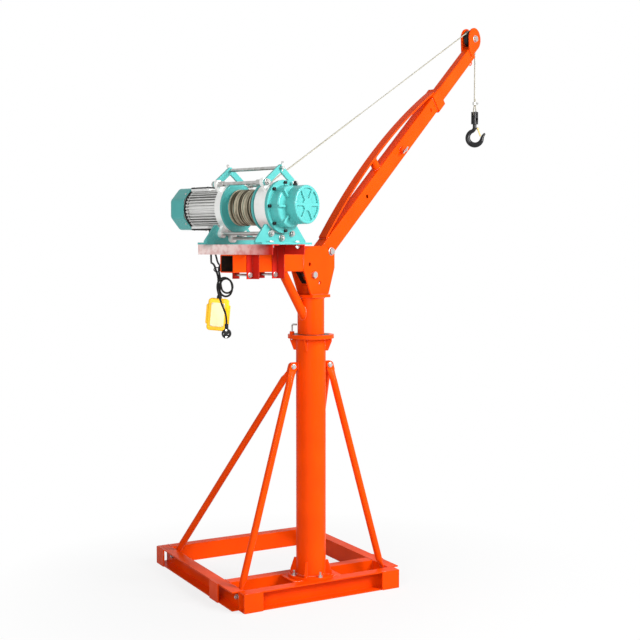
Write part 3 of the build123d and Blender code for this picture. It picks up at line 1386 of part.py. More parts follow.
eye_z = fall_end.Z - FREE_FIT
eye_x = fall_x + EYE_PAIR / 2
eye_bottom_z = eye_z - EYE_L
yoke_pin_z = eye_bottom_z + ROPE_D / 2 + YOKE_PIN_D / 2 + FREE_FIT
with BuildPart() as rope_eye:
    with BuildLine():
        FilletPolyline(
            (fall_x, 0, eye_z), (fall_x, 0, eye_z - EYE_NECK), (eye_x - EYE_HALF, 0, eye_z - 2.3 * EYE_NECK),
            (eye_x - EYE_HALF, 0, eye_bottom_z), (eye_x + EYE_HALF, 0, eye_bottom_z),
            (eye_x + EYE_HALF, 0, eye_z - 2.3 * EYE_NECK), (fall_x + EYE_PAIR, 0, eye_z - EYE_NECK),
            (fall_x + EYE_PAIR, 0, eye_z + EYE_END), radius=EYE_HALF - 1,
        )
    with BuildSketch(Plane(origin=(fall_x, 0, eye_z), z_dir=(0, 0, -1))):
        Circle(ROPE_D / 2)
    sweep()
finish(rope_eye, "rope_eye")

clip_low_z = eye_z - EYE_NECK + 2
with BuildPart() as rope_clip:
    with BuildSketch(Plane.XY.offset(clip_low_z)):
        with Locations((eye_x, 0)):
            RectangleRounded(CLIP_W, CLIP_D, CLIP_D / 4)
        with Locations((fall_x, 0), (fall_x + EYE_PAIR, 0)):
            Circle(ROPE_D / 2, mode=Mode.SUBTRACT)
    extrude(amount=CLIP_H)
    for nut_sign in (-1, 1):
        with BuildSketch(Plane(origin=(eye_x + nut_sign * CLIP_W / 4, -CLIP_D / 2, clip_low_z + CLIP_H / 2),
                               z_dir=(0, -1, 0))):
            RegularPolygon(CLIP_W / 5, 6)
        extrude(amount=ROPE_D)

view_right = Vector(cos(radians(LOCK_DEG)), -sin(radians(LOCK_DEG)), 0)
view_near = Vector(-sin(radians(LOCK_DEG)), -cos(radians(LOCK_DEG)), 0)
yoke_floor = yoke_pin_z - YOKE_DROP
yoke_top = yoke_pin_z + YOKE_PIN_D
slot_floor = eye_bottom_z - ROPE_D
nut_seat_z = yoke_floor + YOKE_BAR
swivel_r = HOOK_ROD_D / 3
with BuildPart() as yoke:
    with BuildSketch(Plane.XY.offset(yoke_floor)):
        with Locations((eye_x, 0)):
            RectangleRounded(YOKE_W, YOKE_D, YOKE_D / 3)
    extrude(amount=yoke_top - yoke_floor)
    with BuildSketch(Plane(origin=(eye_x, 0, 0), x_dir=(0, 1, 0), z_dir=(1, 0, 0))):
        with Locations((0, (yoke_top + slot_floor) / 2)):
            Rectangle(2 * ROPE_D, yoke_top - slot_floor)
    extrude(amount=YOKE_W, both=True, mode=Mode.SUBTRACT)
    with BuildSketch(Plane(origin=(eye_x, 0, 0), x_dir=(1, 0, 0), z_dir=(0, -1, 0))):
        with Locations((0, nut_seat_z + YOKE_WINDOW_H / 2)):
            Rectangle(YOKE_WINDOW_W, YOKE_WINDOW_H)
    extrude(amount=YOKE_D, both=True, mode=Mode.SUBTRACT)
    with BuildSketch(Plane.XY.offset(yoke_floor)):
        with Locations((eye_x, 0)):
            Circle(swivel_r + FREE_FIT)
    extrude(amount=2 * YOKE_BAR, mode=Mode.SUBTRACT)
    with BuildSketch(Plane(origin=(eye_x, 0, yoke_pin_z), z_dir=(0, 1, 0))):
        Circle(YOKE_PIN_D / 2)
    extrude(amount=YOKE_D, both=True, mode=Mode.SUBTRACT)

with BuildPart() as yoke_pin:
    with BuildSketch(Plane(origin=(eye_x, 0, yoke_pin_z), z_dir=(0, 1, 0))):
        Circle(YOKE_PIN_D / 2)
    extrude(amount=YOKE_D / 2 + YOKE_PIN_D / 4, both=True)
group([rope_clip, yoke, yoke_pin], "hook_block")

hook_top = yoke_floor - HOLE_FIT
hook_face = Plane(origin=(eye_x, 0, hook_top), x_dir=view_right, z_dir=view_near)


def hook_point(x, z):
    """A point in the hook's plane, below its shoulder."""
    return hook_face.from_local_coords(Vector(x, z, 0))


def bowl_point(degree):
    """A point on the middle line of the hook's bowl."""
    return hook_point(BOWL_X + BOWL_R * cos(radians(degree)), BOWL_Z + BOWL_R * sin(radians(degree)))


with BuildPart() as hook:
    with BuildLine() as hook_line:
        Line(hook_point(0, 0), hook_point(0, -HOOK_NECK))
        TangentArc(hook_point(0, -HOOK_NECK), bowl_point(BOWL_START_DEG), tangent=-UP)
        ThreePointArc(bowl_point(BOWL_START_DEG), bowl_point(BOWL_MID_DEG), bowl_point(BOWL_END_DEG))
        TangentArc(bowl_point(BOWL_END_DEG), hook_point(*HOOK_TIP),
                   tangent=bowl_point(BOWL_END_DEG + 1) - bowl_point(BOWL_END_DEG - 1))
    hook_wire = hook_line.wires()[0]
    for share, section_r in HOOK_SECTIONS:
        with BuildSketch(Plane(origin=hook_wire @ share, z_dir=hook_wire % share)):
            Circle(section_r)
    sweep(path=hook_wire, multisection=True)
    with BuildSketch(hook_face):
        with Locations(LATCH_SPOT):
            Circle(LATCH_EAR_R)
        with Locations((LATCH_SPOT[0] / 2, LATCH_SPOT[1] + LATCH_EAR_R / 4)):
            Rectangle(LATCH_SPOT[0], 1.5 * LATCH_EAR_R)
    extrude(amount=LATCH_EAR_T / 2, both=True)
    with BuildSketch(hook_face):
        with Locations(LATCH_SPOT):
            Circle(LATCH_PIN_D / 2 + FREE_FIT)
    extrude(amount=LATCH_EAR_T, both=True, mode=Mode.SUBTRACT)
    with BuildSketch(Plane.XY.offset(hook_top)):
        with Locations((eye_x, 0)):
            Circle(swivel_r)
    extrude(amount=nut_seat_z + YOKE_BAR - hook_top)
    with BuildSketch(Plane.XY.offset(nut_seat_z + FREE_FIT)):
        with Locations((eye_x, 0)):
            Circle(1.7 * swivel_r)
    extrude(amount=YOKE_BAR)
finish(hook, "hook")

latch_dx = LATCH_TIP[0] - LATCH_SPOT[0]
latch_dz = LATCH_TIP[1] - LATCH_SPOT[1]
with BuildPart() as latch:
    with BuildSketch(hook_face):
        with Locations(Location((LATCH_SPOT[0] + latch_dx / 2, LATCH_SPOT[1] + latch_dz / 2, 0),
                                degrees(atan2(latch_dz, latch_dx)))):
            Rectangle(hypot(latch_dx, latch_dz), LATCH_T)
        with Locations(LATCH_SPOT):
            Circle(LATCH_EAR_R - 1)
    extrude(amount=LATCH_W / 2, both=True)
    with BuildSketch(hook_face):
        with Locations(LATCH_SPOT):
            Circle(LATCH_EAR_R + HOLE_FIT)
        with Locations((LATCH_SPOT[0] / 2, LATCH_SPOT[1])):
            Rectangle(LATCH_SPOT[0], 2 * LATCH_EAR_R + 1)
    extrude(amount=LATCH_EAR_T / 2 + FREE_FIT, both=True, mode=Mode.SUBTRACT)
    with BuildSketch(hook_face):
        with Locations(LATCH_SPOT):
            Circle(LATCH_PIN_D / 2)
    extrude(amount=LATCH_W / 2 + 1, both=True)
finish(latch, "hook_latch")

# Pendant control, cables and plug


def from_tie(right, near, z):
    """A point by the cable tie, given to the right of it, in front of it and up from the beam's top."""
    return Vector(TIE_X, TIE_Y, BEAM_TOP_Z + z) + view_right * right + view_near * near


def from_beam(x, y, z):
    """A point given up from the beam's top."""
    return Vector(x, y, BEAM_TOP_Z + z)


gland_top = from_tie(*PENDANT_CABLE_HANG[-1])
near_axis = Axis((0, 0, 0), view_near)
pendant_up = UP.rotate(near_axis, PENDANT_TILT)
pendant_right = view_right.rotate(near_axis, PENDANT_TILT)
pendant_top = gland_top - pendant_up * (GLAND_H + FREE_FIT)
pendant_face = Plane(origin=pendant_top, x_dir=pendant_right, z_dir=view_near)
button_spots = {"up_button": -PENDANT_H * 0.36, "down_button": -PENDANT_H * 0.64}
button_floor = pendant_face.offset(-PENDANT_D / 2 + BUTTON_DEEP)
with BuildPart() as pendant_case:
    with BuildSketch(pendant_face):
        with Locations((0, -PENDANT_H / 2)):
            RectangleRounded(PENDANT_W, PENDANT_H, PENDANT_CORNER)
    extrude(amount=PENDANT_D / 2, both=True)
    rim_edges = pendant_case.edges().filter_by(lambda edge: abs(edge.tangent_at(0.5).dot(view_near)) < 0.5)
    fillet(rim_edges, PENDANT_ROUND)
    with BuildSketch(pendant_face):
        for guard_sign in (-1, 1):
            with Locations((guard_sign * PENDANT_W / 2, -PENDANT_H / 2)):
                RectangleRounded(PENDANT_CORNER, PENDANT_H * 0.62, PENDANT_CORNER / 2 - 0.5)
    extrude(amount=PENDANT_D / 4, both=True)
    with BuildSketch(pendant_face):
        with Locations((0, -PENDANT_H / 2)):
            RectangleRounded(PENDANT_W * 0.66, PENDANT_H * 0.74, PENDANT_CORNER / 2)
    extrude(amount=PENDANT_D / 2 + PANEL_T)
    with BuildSketch(button_floor):
        for spot_y in button_spots.values():
            with Locations((0, spot_y)):
                Circle(BUTTON_D / 2 + FREE_FIT)
    extrude(amount=-2 * BUTTON_DEEP, mode=Mode.SUBTRACT)
finish(pendant_case, "pendant_case")

for button_name, spot_y in button_spots.items():
    with BuildPart() as button:
        with BuildSketch(button_floor.offset(-BUTTON_TRAVEL - HOLE_FIT)):
            with Locations((0, spot_y)):
                Circle(BUTTON_D / 2)
        extrude(amount=-(BUTTON_DEEP - BUTTON_TRAVEL - HOLE_FIT + BUTTON_OUT))
        fillet(button.faces().sort_by(lambda face: face.center().dot(view_near))[0].edges(), 2)
    finish(button, button_name)

cover_low_z = WINCH_Z - MOTOR_R - FIN_H - COVER_LIFT - COVER_H / 2
with BuildPart() as pendant_gland:
    with BuildSketch(pendant_face):
        with BuildLine():
            Polyline(
                (0, 0), (GLAND_R, 0), (GLAND_R, 0.4 * GLAND_H), (0.6 * GLAND_R, GLAND_H), (0, GLAND_H),
                close=True,
            )
        make_face()
    revolve(axis=Axis(pendant_face.origin, pendant_face.y_dir))
glands = [pendant_gland]
for cord_start in (PENDANT_CABLE_RUN[0], POWER_LEAD_RUN[0]):
    with BuildPart() as cover_gland:
        with BuildSketch(Plane.XY.offset(cover_low_z)):
            with Locations(cord_start[:2]):
                Circle(GLAND_R * 0.7)
        extrude(amount=BEAM_TOP_Z + cord_start[2] - cover_low_z)
    glands.append(cover_gland)
group(glands, "cable_glands")


def cord(points, diameter, label):
    """A round cord along straight runs joined by tangent arcs."""
    bends = []
    for before, here, after in zip(points, points[1:], points[2:]):
        turn = (here - before).get_angle(after - here)
        bends.append(0.45 * min((here - before).length, (after - here).length) / tan(radians(turn / 2)))
    print(label, "least bend radius", round(min(bends), 1), "mm")
    with BuildPart() as tube:
        with BuildLine():
            FilletPolyline(*points, radius=bends)
        with BuildSketch(Plane(origin=points[0], z_dir=(points[1] - points[0]).normalized())):
            Circle(diameter / 2)
        sweep()
    finish(tube, label)


pendant_run = [from_beam(*spot) for spot in PENDANT_CABLE_RUN]
cord(pendant_run + [from_tie(*spot) for spot in PENDANT_CABLE_HANG], CORD_D, "pendant_cable")
lead_run = [from_beam(*spot) for spot in POWER_LEAD_RUN]
cord(lead_run + [from_tie(*spot) for spot in POWER_LEAD_HANG], LEAD_D, "power_lead")

with BuildPart() as cable_tie:
    with Locations(Plane(origin=from_beam(*TIE_RING), z_dir=TIE_RUN)):
        Torus(TIE_RING_R, TIE_RING_D / 2)
    with BuildSketch(Plane(origin=from_beam(TIE_TAB[0], BEAM_W / 2, TIE_TAB[1]), z_dir=(0, 1, 0))):
        Rectangle(TIE_TAB_W, TIE_TAB_W)
    extrude(amount=TIE_TAB_L)
finish(cable_tie, "cable_tie")

plug_top = from_tie(*POWER_LEAD_HANG[-1])
plug_centre = plug_top - UP * PLUG_NECK
with BuildPart() as plug:
    with BuildSketch(Plane(origin=plug_centre - view_near * PLUG_L / 2, z_dir=view_near)):
        Circle(PLUG_R)
    extrude(amount=PLUG_L)
    with BuildSketch(Plane(origin=plug_centre)):
        Circle(LEAD_D)
    extrude(amount=PLUG_NECK)
    with BuildSketch(Plane(origin=plug_centre + view_near * PLUG_L / 2, x_dir=view_right, z_dir=view_near)):
        with Locations((-PLUG_PIN_GAP / 2, 0), (PLUG_PIN_GAP / 2, 0)):
            Circle(PLUG_PIN_D / 2)
    extrude(amount=PLUG_PIN_L)
finish(plug, "power_plug")
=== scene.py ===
"""Looks of the slewing mini crane.

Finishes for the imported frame's nodes, and round them the laid rope, the cables, weld beads, washers, threads and
small fittings, then the floor, the light and the camera.
"""

import json
import math

import bmesh
import bpy
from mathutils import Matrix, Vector


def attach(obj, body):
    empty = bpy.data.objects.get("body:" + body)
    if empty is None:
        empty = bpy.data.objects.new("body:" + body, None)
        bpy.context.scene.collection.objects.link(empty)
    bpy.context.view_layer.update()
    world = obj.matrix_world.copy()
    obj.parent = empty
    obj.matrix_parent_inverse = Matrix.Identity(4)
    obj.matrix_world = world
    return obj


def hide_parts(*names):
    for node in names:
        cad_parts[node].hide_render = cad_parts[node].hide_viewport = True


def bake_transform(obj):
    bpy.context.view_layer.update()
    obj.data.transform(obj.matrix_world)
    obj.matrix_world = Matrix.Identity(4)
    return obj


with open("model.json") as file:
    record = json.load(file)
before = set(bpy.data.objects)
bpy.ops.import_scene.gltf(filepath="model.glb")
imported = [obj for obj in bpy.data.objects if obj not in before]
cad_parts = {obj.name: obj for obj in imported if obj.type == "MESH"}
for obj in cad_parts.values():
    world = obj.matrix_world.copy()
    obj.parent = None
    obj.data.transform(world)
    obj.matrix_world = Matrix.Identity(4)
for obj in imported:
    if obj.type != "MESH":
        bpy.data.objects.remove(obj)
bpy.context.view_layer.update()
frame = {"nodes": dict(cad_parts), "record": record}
NODES = frame["nodes"]

# Places shared with the part, in metres and degrees
SLEW_DEG = 22.0
LUFF_DEG = 40.0
VIEW_DEG = 51.2
PIVOT = Vector((0.093, 0, 1.470))
WINCH_X = -0.3475
WINCH_Z = 1.645
WIND_R = 0.068
WIND_TURNS = 18
WIND_PITCH = 0.0072
WIND_END_Y = -0.0436
ROPE_R = 0.003
ROPE_LAY = 0.034
HEAD_CENTRE = Vector((1.276547, 0, 2.536216))
SHEAVE_PITCH_R = 0.042
SPAN_SPLIT = 0.42
FALL_X = 1.318547
FALL_LOW_Z = 2.231216
EYE_Z = 2.230916
BEAM_TOP_Z = 1.458
TIE = Vector((-0.518, 0.050, BEAM_TOP_Z))
CORD_R = 0.0040
LEAD_R = 0.00375
RAIL_FACE_X = -0.4440
RAIL_LIGHT_YS = (-0.16, 0.02)
PANEL_NEAR = 0.0104
FIN_ROOT_R = 0.0662
FIN_TIP_R = 0.0765
LID_EDGE = 0.0815
CLIP_LOW_Z = 2.200

UP = Vector((0, 0, 1))
ACROSS = Vector((0, 1, 0))
view_right = Vector((math.cos(math.radians(VIEW_DEG)), -math.sin(math.radians(VIEW_DEG)), 0))
view_near = Vector((-math.sin(math.radians(VIEW_DEG)), -math.cos(math.radians(VIEW_DEG)), 0))
base_x = Vector((math.cos(math.radians(SLEW_DEG)), -math.sin(math.radians(SLEW_DEG)), 0))
base_y = UP.cross(base_x)
boom_x = Vector((math.cos(math.radians(LUFF_DEG)), 0, math.sin(math.radians(LUFF_DEG))))
boom_z = ACROSS.cross(boom_x) * -1


def base_point(x, y, z):
    """A point of the floor frame, given along and across its front beam."""
    return base_x * x + base_y * y + UP * z


def boom_point(x, y, z):
    """A point given along the boom from its pivot, across it and square to it."""
    return PIVOT + boom_x * x + ACROSS * y + boom_z * z


def winch_point(x, y, z):
    """A point given from the winch's axis."""
    return Vector((WINCH_X + x, y, WINCH_Z + z))


def from_tie(right, near, z):
    """A point by the cable tie, given to the right of it, in front of it and up from the beam's top."""
    return TIE + view_right * right + view_near * near + UP * z


# Finishes


class Signal:
    """A socket of a finish's node tree. Arithmetic on it adds Math nodes."""

    def __init__(self, finish, socket):
        self.finish = finish
        self.socket = socket

    def combine(self, operation, first, second):
        return self.finish.add("Math", {0: first, 1: second}, operation=operation)

    def __add__(self, other):
        return self.combine("ADD", self, other)

    def __radd__(self, other):
        return self.combine("ADD", other, self)

    def __sub__(self, other):
        return self.combine("SUBTRACT", self, other)

    def __rsub__(self, other):
        return self.combine("SUBTRACT", other, self)

    def __mul__(self, other):
        return self.combine("MULTIPLY", self, other)

    def __rmul__(self, other):
        return self.combine("MULTIPLY", other, self)


class Finish:
    """A material being made: its node tree, with one method that adds any node."""

    def __init__(self, name):
        self.material = bpy.data.materials.new(name)
        self.material.use_nodes = True
        self.tree = self.material.node_tree
        self.tree.nodes.clear()
        self.place = self.add("TexCoord", output="Object")

    def add(self, kind, inputs=None, output=0, **settings):
        """A node with its settings, its inputs linked or set, and one of its outputs as the signal."""
        node = self.tree.nodes.new("ShaderNode" + kind)
        for name, value in settings.items():
            setattr(node, name, value)
        for key, value in (inputs or {}).items():
            if isinstance(value, Signal):
                self.tree.links.new(value.socket, node.inputs[key])
            else:
                node.inputs[key].default_value = value
        return Signal(self, node.outputs[output])

    def noise(self, scale, detail=3.0, place=None):
        """Soft noise over the surface, with about this many patches in a metre."""
        return self.add("TexNoise", {"Vector": place or self.place, "Scale": scale, "Detail": detail})

    def steps(self, value, low, high):
        """The value spread from 0 at low to 1 at high."""
        return self.add("MapRange", {0: value, 1: low, 2: high}, clamp=True)

    def tint(self, mask, first, second):
        """One colour where the mask is 0 and the other where it is 1."""
        return self.add("Mix", {0: mask, 6: first, 7: second}, output=2, data_type="RGBA")

    def stretched(self, scale):
        """Places scaled unevenly, for grain that runs one way."""
        return self.add("VectorMath", {0: self.place, 1: scale}, operation="MULTIPLY")

    def edges(self, radius):
        """A mask that is 1 along worn edges, and the normal of those edges rounded."""
        rounded = self.add("Bevel", {"Radius": radius}, samples=4)
        flat = self.add("NewGeometry", output="Normal")
        facing = self.add("VectorMath", {0: rounded, 1: flat}, output="Value", operation="DOT_PRODUCT")
        return self.steps(1 - facing, 0.02, 0.16), rounded

    def surface(self, colour, roughness, bumps=None, depth=0.0, normal=None, metallic=0.0, **fixed):
        """The finished surface, with its bumps on top of the given normal."""
        links = {"Base Color": colour, "Roughness": roughness, "Metallic": metallic}
        if bumps is not None:
            heights = {"Height": bumps, "Strength": 1.0, "Distance": depth}
            if normal is not None:
                heights["Normal"] = normal
            normal = self.add("Bump", heights)
        if normal is not None:
            links["Normal"] = normal
        for name, value in fixed.items():
            links[name.replace("_", " ").title().replace("Ior", "IOR")] = value
        shader = self.add("BsdfPrincipled", links)
        self.add_output(shader)
        return self.material

    def add_output(self, shader):
        """The end of the tree, fed by this shader."""
        end = self.tree.nodes.new("ShaderNodeOutputMaterial")
        self.tree.links.new(shader.socket, end.inputs["Surface"])


def rgb(red, green, blue):
    return (red, green, blue, 1.0)


def sprayed_coat(name, colour, deep, scuff, roughness, peel=0.00004, wear=0.3, shine=0.035, accent=None):
    """A sprayed coat over steel: orange peel, uneven shade, rubbed edges and perhaps a face in another colour."""
    coat = Finish(name)
    cloud = coat.noise(7.0, 5.0)
    speck = coat.noise(160.0, 2.0)
    rub, rounded = coat.edges(0.0022)
    patch = coat.steps(coat.noise(28.0, 6.0), 0.50, 0.62)
    thin = rub * patch * wear
    shade = coat.tint(coat.steps(cloud, 0.35, 0.70), colour, deep)
    shade = coat.tint(thin, shade, scuff)
    if accent:
        mask, accent_colour = accent(coat)
        shade = coat.tint(mask, shade, accent_colour)
    gloss = roughness + 0.10 * coat.steps(cloud, 0.3, 0.7) + 0.06 * speck + 0.15 * thin
    peel_height = coat.noise(420.0, 2.0) + 0.35 * coat.noise(90.0, 2.0)
    lacquer = {"coat_weight": 0.04, "coat_roughness": 0.10}
    return coat.surface(shade, gloss, peel_height, peel, rounded, specular_ior_level=shine, **lacquer)


def rail_face_light(coat):
    """Painted highlight: the rear rail's outer face pale and patchy, most of all towards the motor's end."""
    outer = coat.steps(coat.add("SeparateXYZ", {0: coat.place}, output="X"), RAIL_FACE_X, RAIL_FACE_X - 0.0009)
    along = coat.steps(coat.add("SeparateXYZ", {0: coat.place}, output="Y"), *RAIL_LIGHT_YS)
    patchy_light = 0.55 + 0.45 * coat.steps(coat.noise(38.0, 5.0), 0.32, 0.56)
    return outer * along * patchy_light, rgb(0.94, 0.74, 0.71)


def plated_steel():
    """Zinc plating: bright grey with a faint yellow cast and fine drawing marks."""
    steel = Finish("zinc_steel")
    cloud = steel.noise(60.0, 4.0)
    fine = steel.noise(1500.0, 2.0)
    rub, rounded = steel.edges(0.0008)
    shade = steel.tint(steel.steps(cloud, 0.35, 0.7), rgb(0.50, 0.50, 0.49), rgb(0.38, 0.37, 0.35))
    shade = steel.tint(0.5 * rub, shade, rgb(0.70, 0.70, 0.69))
    return steel.surface(shade, 0.22 + 0.18 * cloud + 0.05 * fine, fine, 0.00004, rounded, metallic=0.9)


def cast_metal(name, finned=False):
    """Sand-cast aluminium, lightly blasted: pale, matt and pitted, with painted shade between a motor's fins."""
    cast = Finish(name)
    cloud = cast.noise(16.0, 5.0)
    grit = cast.noise(620.0, 4.0)
    rub, rounded = cast.edges(0.0015)
    shade = cast.tint(cast.steps(cloud, 0.35, 0.7), rgb(0.87, 0.87, 0.85), rgb(0.76, 0.76, 0.74))
    shade = cast.tint(0.6 * rub, shade, rgb(0.93, 0.93, 0.92))
    if finned:
        across = cast.add("VectorMath", {0: cast.place, 1: winch_point(0, 0, 0)}, operation="SUBTRACT")
        across = cast.add("VectorMath", {0: across, 1: (1, 0, 1)}, operation="MULTIPLY")
        out = cast.add("VectorMath", {0: across}, output="Value", operation="LENGTH")
        # Painted shade: dark grey on the fins' roots and flanks, where shade falls between them
        fin_gap_shade = cast.steps(out, FIN_ROOT_R, FIN_ROOT_R + 0.0006)
        fin_gap_shade = fin_gap_shade * cast.steps(out, FIN_TIP_R, FIN_TIP_R - 0.004)
        shade = cast.tint(fin_gap_shade, shade, rgb(0.20, 0.20, 0.195))
    return cast.surface(shade, 0.36 + 0.16 * grit, grit, 0.00018, rounded, metallic=0.40)


def moulded_plastic(name, colour, deep, roughness, shine=0.5, accent=None):
    """Moulded plastic with a fine etched grain, rubbed corners and perhaps a part in another colour."""
    plastic = Finish(name)
    cloud = plastic.noise(30.0, 3.0)
    etched = plastic.noise(520.0, 3.0)
    rub, rounded = plastic.edges(0.0012)
    shade = plastic.tint(plastic.steps(cloud, 0.35, 0.7), colour, deep)
    if accent:
        mask, accent_colour = accent(plastic)
        shade = plastic.tint(mask, shade, accent_colour)
    gloss = roughness + 0.12 * etched - 0.08 * rub
    return plastic.surface(shade, gloss, etched, 0.00010, rounded, specular_ior_level=shine)


def pale_panel(plastic):
    """The raised front panel of the pendant, in a paler yellow."""
    ahead = plastic.add("VectorMath", {0: plastic.place, 1: view_near}, output="Value", operation="DOT_PRODUCT")
    front = TIE.dot(view_near) + PANEL_NEAR
    return plastic.steps(ahead, front, front + 0.0024), rgb(0.92, 0.76, 0.42)


def box_under_lid(plastic):
    """The grey boxes under the black lids of the motor's covers."""
    height = plastic.add("SeparateXYZ", {0: plastic.place}, output="Z") - WINCH_Z
    out = plastic.add("Math", {0: height}, operation="ABSOLUTE")
    return plastic.steps(out, LID_EDGE + 0.0002, LID_EDGE - 0.0002), rgb(0.80, 0.80, 0.79)


def forged_black(name, bright_above=None):
    """Black-coated forging: glossy, a little lumpy, bright where edges rub and perhaps plated above a height."""
    iron = Finish(name)
    lumps = iron.noise(55.0, 4.0)
    fine = iron.noise(480.0, 3.0)
    rub, rounded = iron.edges(0.0018)
    worn = rub * iron.steps(iron.noise(70.0, 5.0), 0.48, 0.60)
    shade = iron.tint(worn, rgb(0.010, 0.010, 0.011), rgb(0.20, 0.19, 0.18))
    plating = 0.0
    if bright_above:
        height = iron.add("SeparateXYZ", {0: iron.place}, output="Z")
        plating = iron.steps(height, bright_above, bright_above + 0.001)
        shade = iron.tint(plating, shade, rgb(0.62, 0.62, 0.60))
        plating = 0.85 * plating
    gloss = 0.10 + 0.12 * lumps
    return iron.surface(shade, gloss, lumps + 0.3 * fine, 0.0005, rounded, plating, specular_ior_level=0.22)


def plated_latch():
    """Yellow-passivated sheet metal."""
    brass = Finish("brass_latch")
    cloud = brass.noise(140.0, 4.0)
    rub, rounded = brass.edges(0.0006)
    shade = brass.tint(brass.steps(cloud, 0.35, 0.65), rgb(0.78, 0.55, 0.18), rgb(0.62, 0.42, 0.16))
    shade = brass.tint(0.5 * rub, shade, rgb(0.85, 0.70, 0.40))
    return brass.surface(shade, 0.28 + 0.15 * cloud, cloud, 0.00005, rounded, metallic=0.85)


def drawn_wire(name, colour, deep, metallic, gap_shade=None):
    """Drawn wires with grease held between the strands and, on the drum, painted shade between turns."""
    wire = Finish(name)
    streak = wire.noise(900.0, 3.0)
    grease = wire.noise(45.0, 4.0)
    shade = wire.tint(wire.steps(grease, 0.35, 0.7), colour, deep)
    if gap_shade:
        # Painted shade: near-black rings at random places across the drum, for the gaps between turns
        turns = wire.noise(1.0, 2.0, wire.stretched((4.0, 125.0, 4.0)))
        shade = wire.tint(wire.steps(turns, 0.40, 0.58), gap_shade, shade)
    return wire.surface(shade, 0.42 + 0.2 * streak, streak, 0.00012, metallic=metallic, specular_ior_level=0.3)


def rubber_sheath():
    """Matt rubber with a faint bloom."""
    rubber = Finish("cable_rubber")
    bloom = rubber.noise(90.0, 4.0)
    grain = rubber.noise(1400.0, 2.0)
    shade = rubber.tint(rubber.steps(bloom, 0.4, 0.75), rgb(0.009, 0.008, 0.008), rgb(0.020, 0.019, 0.018))
    return rubber.surface(shade, 0.45 + 0.14 * bloom, grain, 0.00005, specular_ior_level=0.08)


def dull_film(name, colour, deep, patches, detail, roughness, depth, **fixed):
    """A dull, uneven film in two shades."""
    film = Finish(name)
    cloud = film.noise(patches, detail)
    shade = film.tint(film.steps(cloud, 0.35, 0.7), colour, deep)
    return film.surface(shade, roughness + 0.2 * cloud, cloud, depth, **fixed)


ORANGE = (rgb(0.87, 0.068, 0.001), rgb(0.78, 0.056, 0.001), rgb(0.50, 0.075, 0.02))
BLACK = (rgb(0.012, 0.012, 0.013), rgb(0.022, 0.021, 0.021))
BLACK_GLOSS = 0.38
BLACK_SHINE = 0.12
FINISHES = {
    "orange_paint": sprayed_coat("orange_paint", *ORANGE, 0.28),
    # Its accent paints a highlight on the rear rail's outer face
    "oxide_paint": sprayed_coat(
        "oxide_paint", rgb(0.54, 0.020, 0.011), rgb(0.42, 0.014, 0.008), rgb(0.34, 0.16, 0.13), 0.30, wear=0.7,
        accent=rail_face_light,
    ),
    "teal_paint": sprayed_coat(
        "teal_paint", rgb(0.085, 0.43, 0.41), rgb(0.070, 0.38, 0.365), rgb(0.42, 0.60, 0.58), 0.20, wear=0.35,
        shine=0.36,
    ),
    "zinc_steel": plated_steel(),
    "cast_aluminium": cast_metal("cast_aluminium"),
    "black_plastic": moulded_plastic("black_plastic", *BLACK, BLACK_GLOSS, BLACK_SHINE),
    "yellow_plastic": moulded_plastic(
        "yellow_plastic", rgb(0.96, 0.56, 0.002), rgb(0.90, 0.50, 0.002), 0.30, 0.25, pale_panel
    ),
    "black_steel": forged_black("black_steel"),
    "brass_latch": plated_latch(),
    "wire_rope": drawn_wire("wire_rope", rgb(0.37, 0.35, 0.28), rgb(0.32, 0.30, 0.235), 0.0),
    "cable_rubber": rubber_sheath(),
}
# The winding's dark rings are painted shade between its turns
WOUND_ROPE = drawn_wire(
    "wound_rope", rgb(0.58, 0.52, 0.39), rgb(0.42, 0.37, 0.26), 0.2, gap_shade=rgb(0.055, 0.042, 0.022)
)
WELD_PAINT = sprayed_coat("weld_paint", *ORANGE, 0.10, peel=0.00002, shine=0.5)
GREASE = dull_film("grease", rgb(0.020, 0.010, 0.006), rgb(0.075, 0.022, 0.009), 120.0, 4.0, 0.32, 0.0006)
# Near black: bare steel's scale, darkened further as painted shade for the insides of hollow ends
MILL_SCALE_AND_SHADE = dull_film(
    "mill_scale_and_shade", rgb(0.012, 0.009, 0.008), rgb(0.035, 0.014, 0.008), 60.0, 5.0, 0.55, 0.0005,
    specular_ior_level=0.2,
)
NODE_FINISHES = {
    "motor_covers": moulded_plastic("lidded_box", *BLACK, BLACK_GLOSS, BLACK_SHINE, box_under_lid),
    "hook_block": forged_black("clipped_block", bright_above=CLIP_LOW_Z),
    "motor_body": cast_metal("finned_case", finned=True),
}

for row in frame["record"]["subparts"]:
    node = NODES[row["node"]]
    node.data.materials.clear()
    node.data.materials.append(NODE_FINISHES.get(row["node"], FINISHES[row["material_slot"]]))

# Ways to make pieces: curves, meshes, skins over rows of points


def smooth_curve(name, points, resolution):
    """A curve whose smooth line has these control points."""
    curve = bpy.data.curves.new(name, "CURVE")
    curve.dimensions = "3D"
    curve.resolution_u = resolution
    spline = curve.splines.new("NURBS")
    spline.points.add(len(points) - 1)
    for knot, point in zip(spline.points, points):
        knot.co = (*point, 1.0)
    spline.order_u = 3
    spline.use_endpoint_u = True
    holder = bpy.data.objects.new(name, curve)
    bpy.context.scene.collection.objects.link(holder)
    return holder


def line_of(points, resolution):
    """Points read along the smooth line with these control points."""
    holder = smooth_curve("line", points, resolution)
    mesh = bpy.data.meshes.new_from_object(holder)
    line = [vertex.co.copy() for vertex in mesh.vertices]
    curve = holder.data
    bpy.data.objects.remove(holder)
    bpy.data.curves.remove(curve)
    bpy.data.meshes.remove(mesh)
    return line


def piece(name, mesh, finish, body=None, smooth=True):
    """A mesh as an object with its finish, on its body."""
    made = bpy.data.objects.new(name, mesh)
    bpy.context.scene.collection.objects.link(made)
    mesh.materials.append(finish if isinstance(finish, bpy.types.Material) else FINISHES[finish])
    mesh.polygons.foreach_set("use_smooth", [smooth] * len(mesh.polygons))
    if body:
        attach(made, body)
    return made


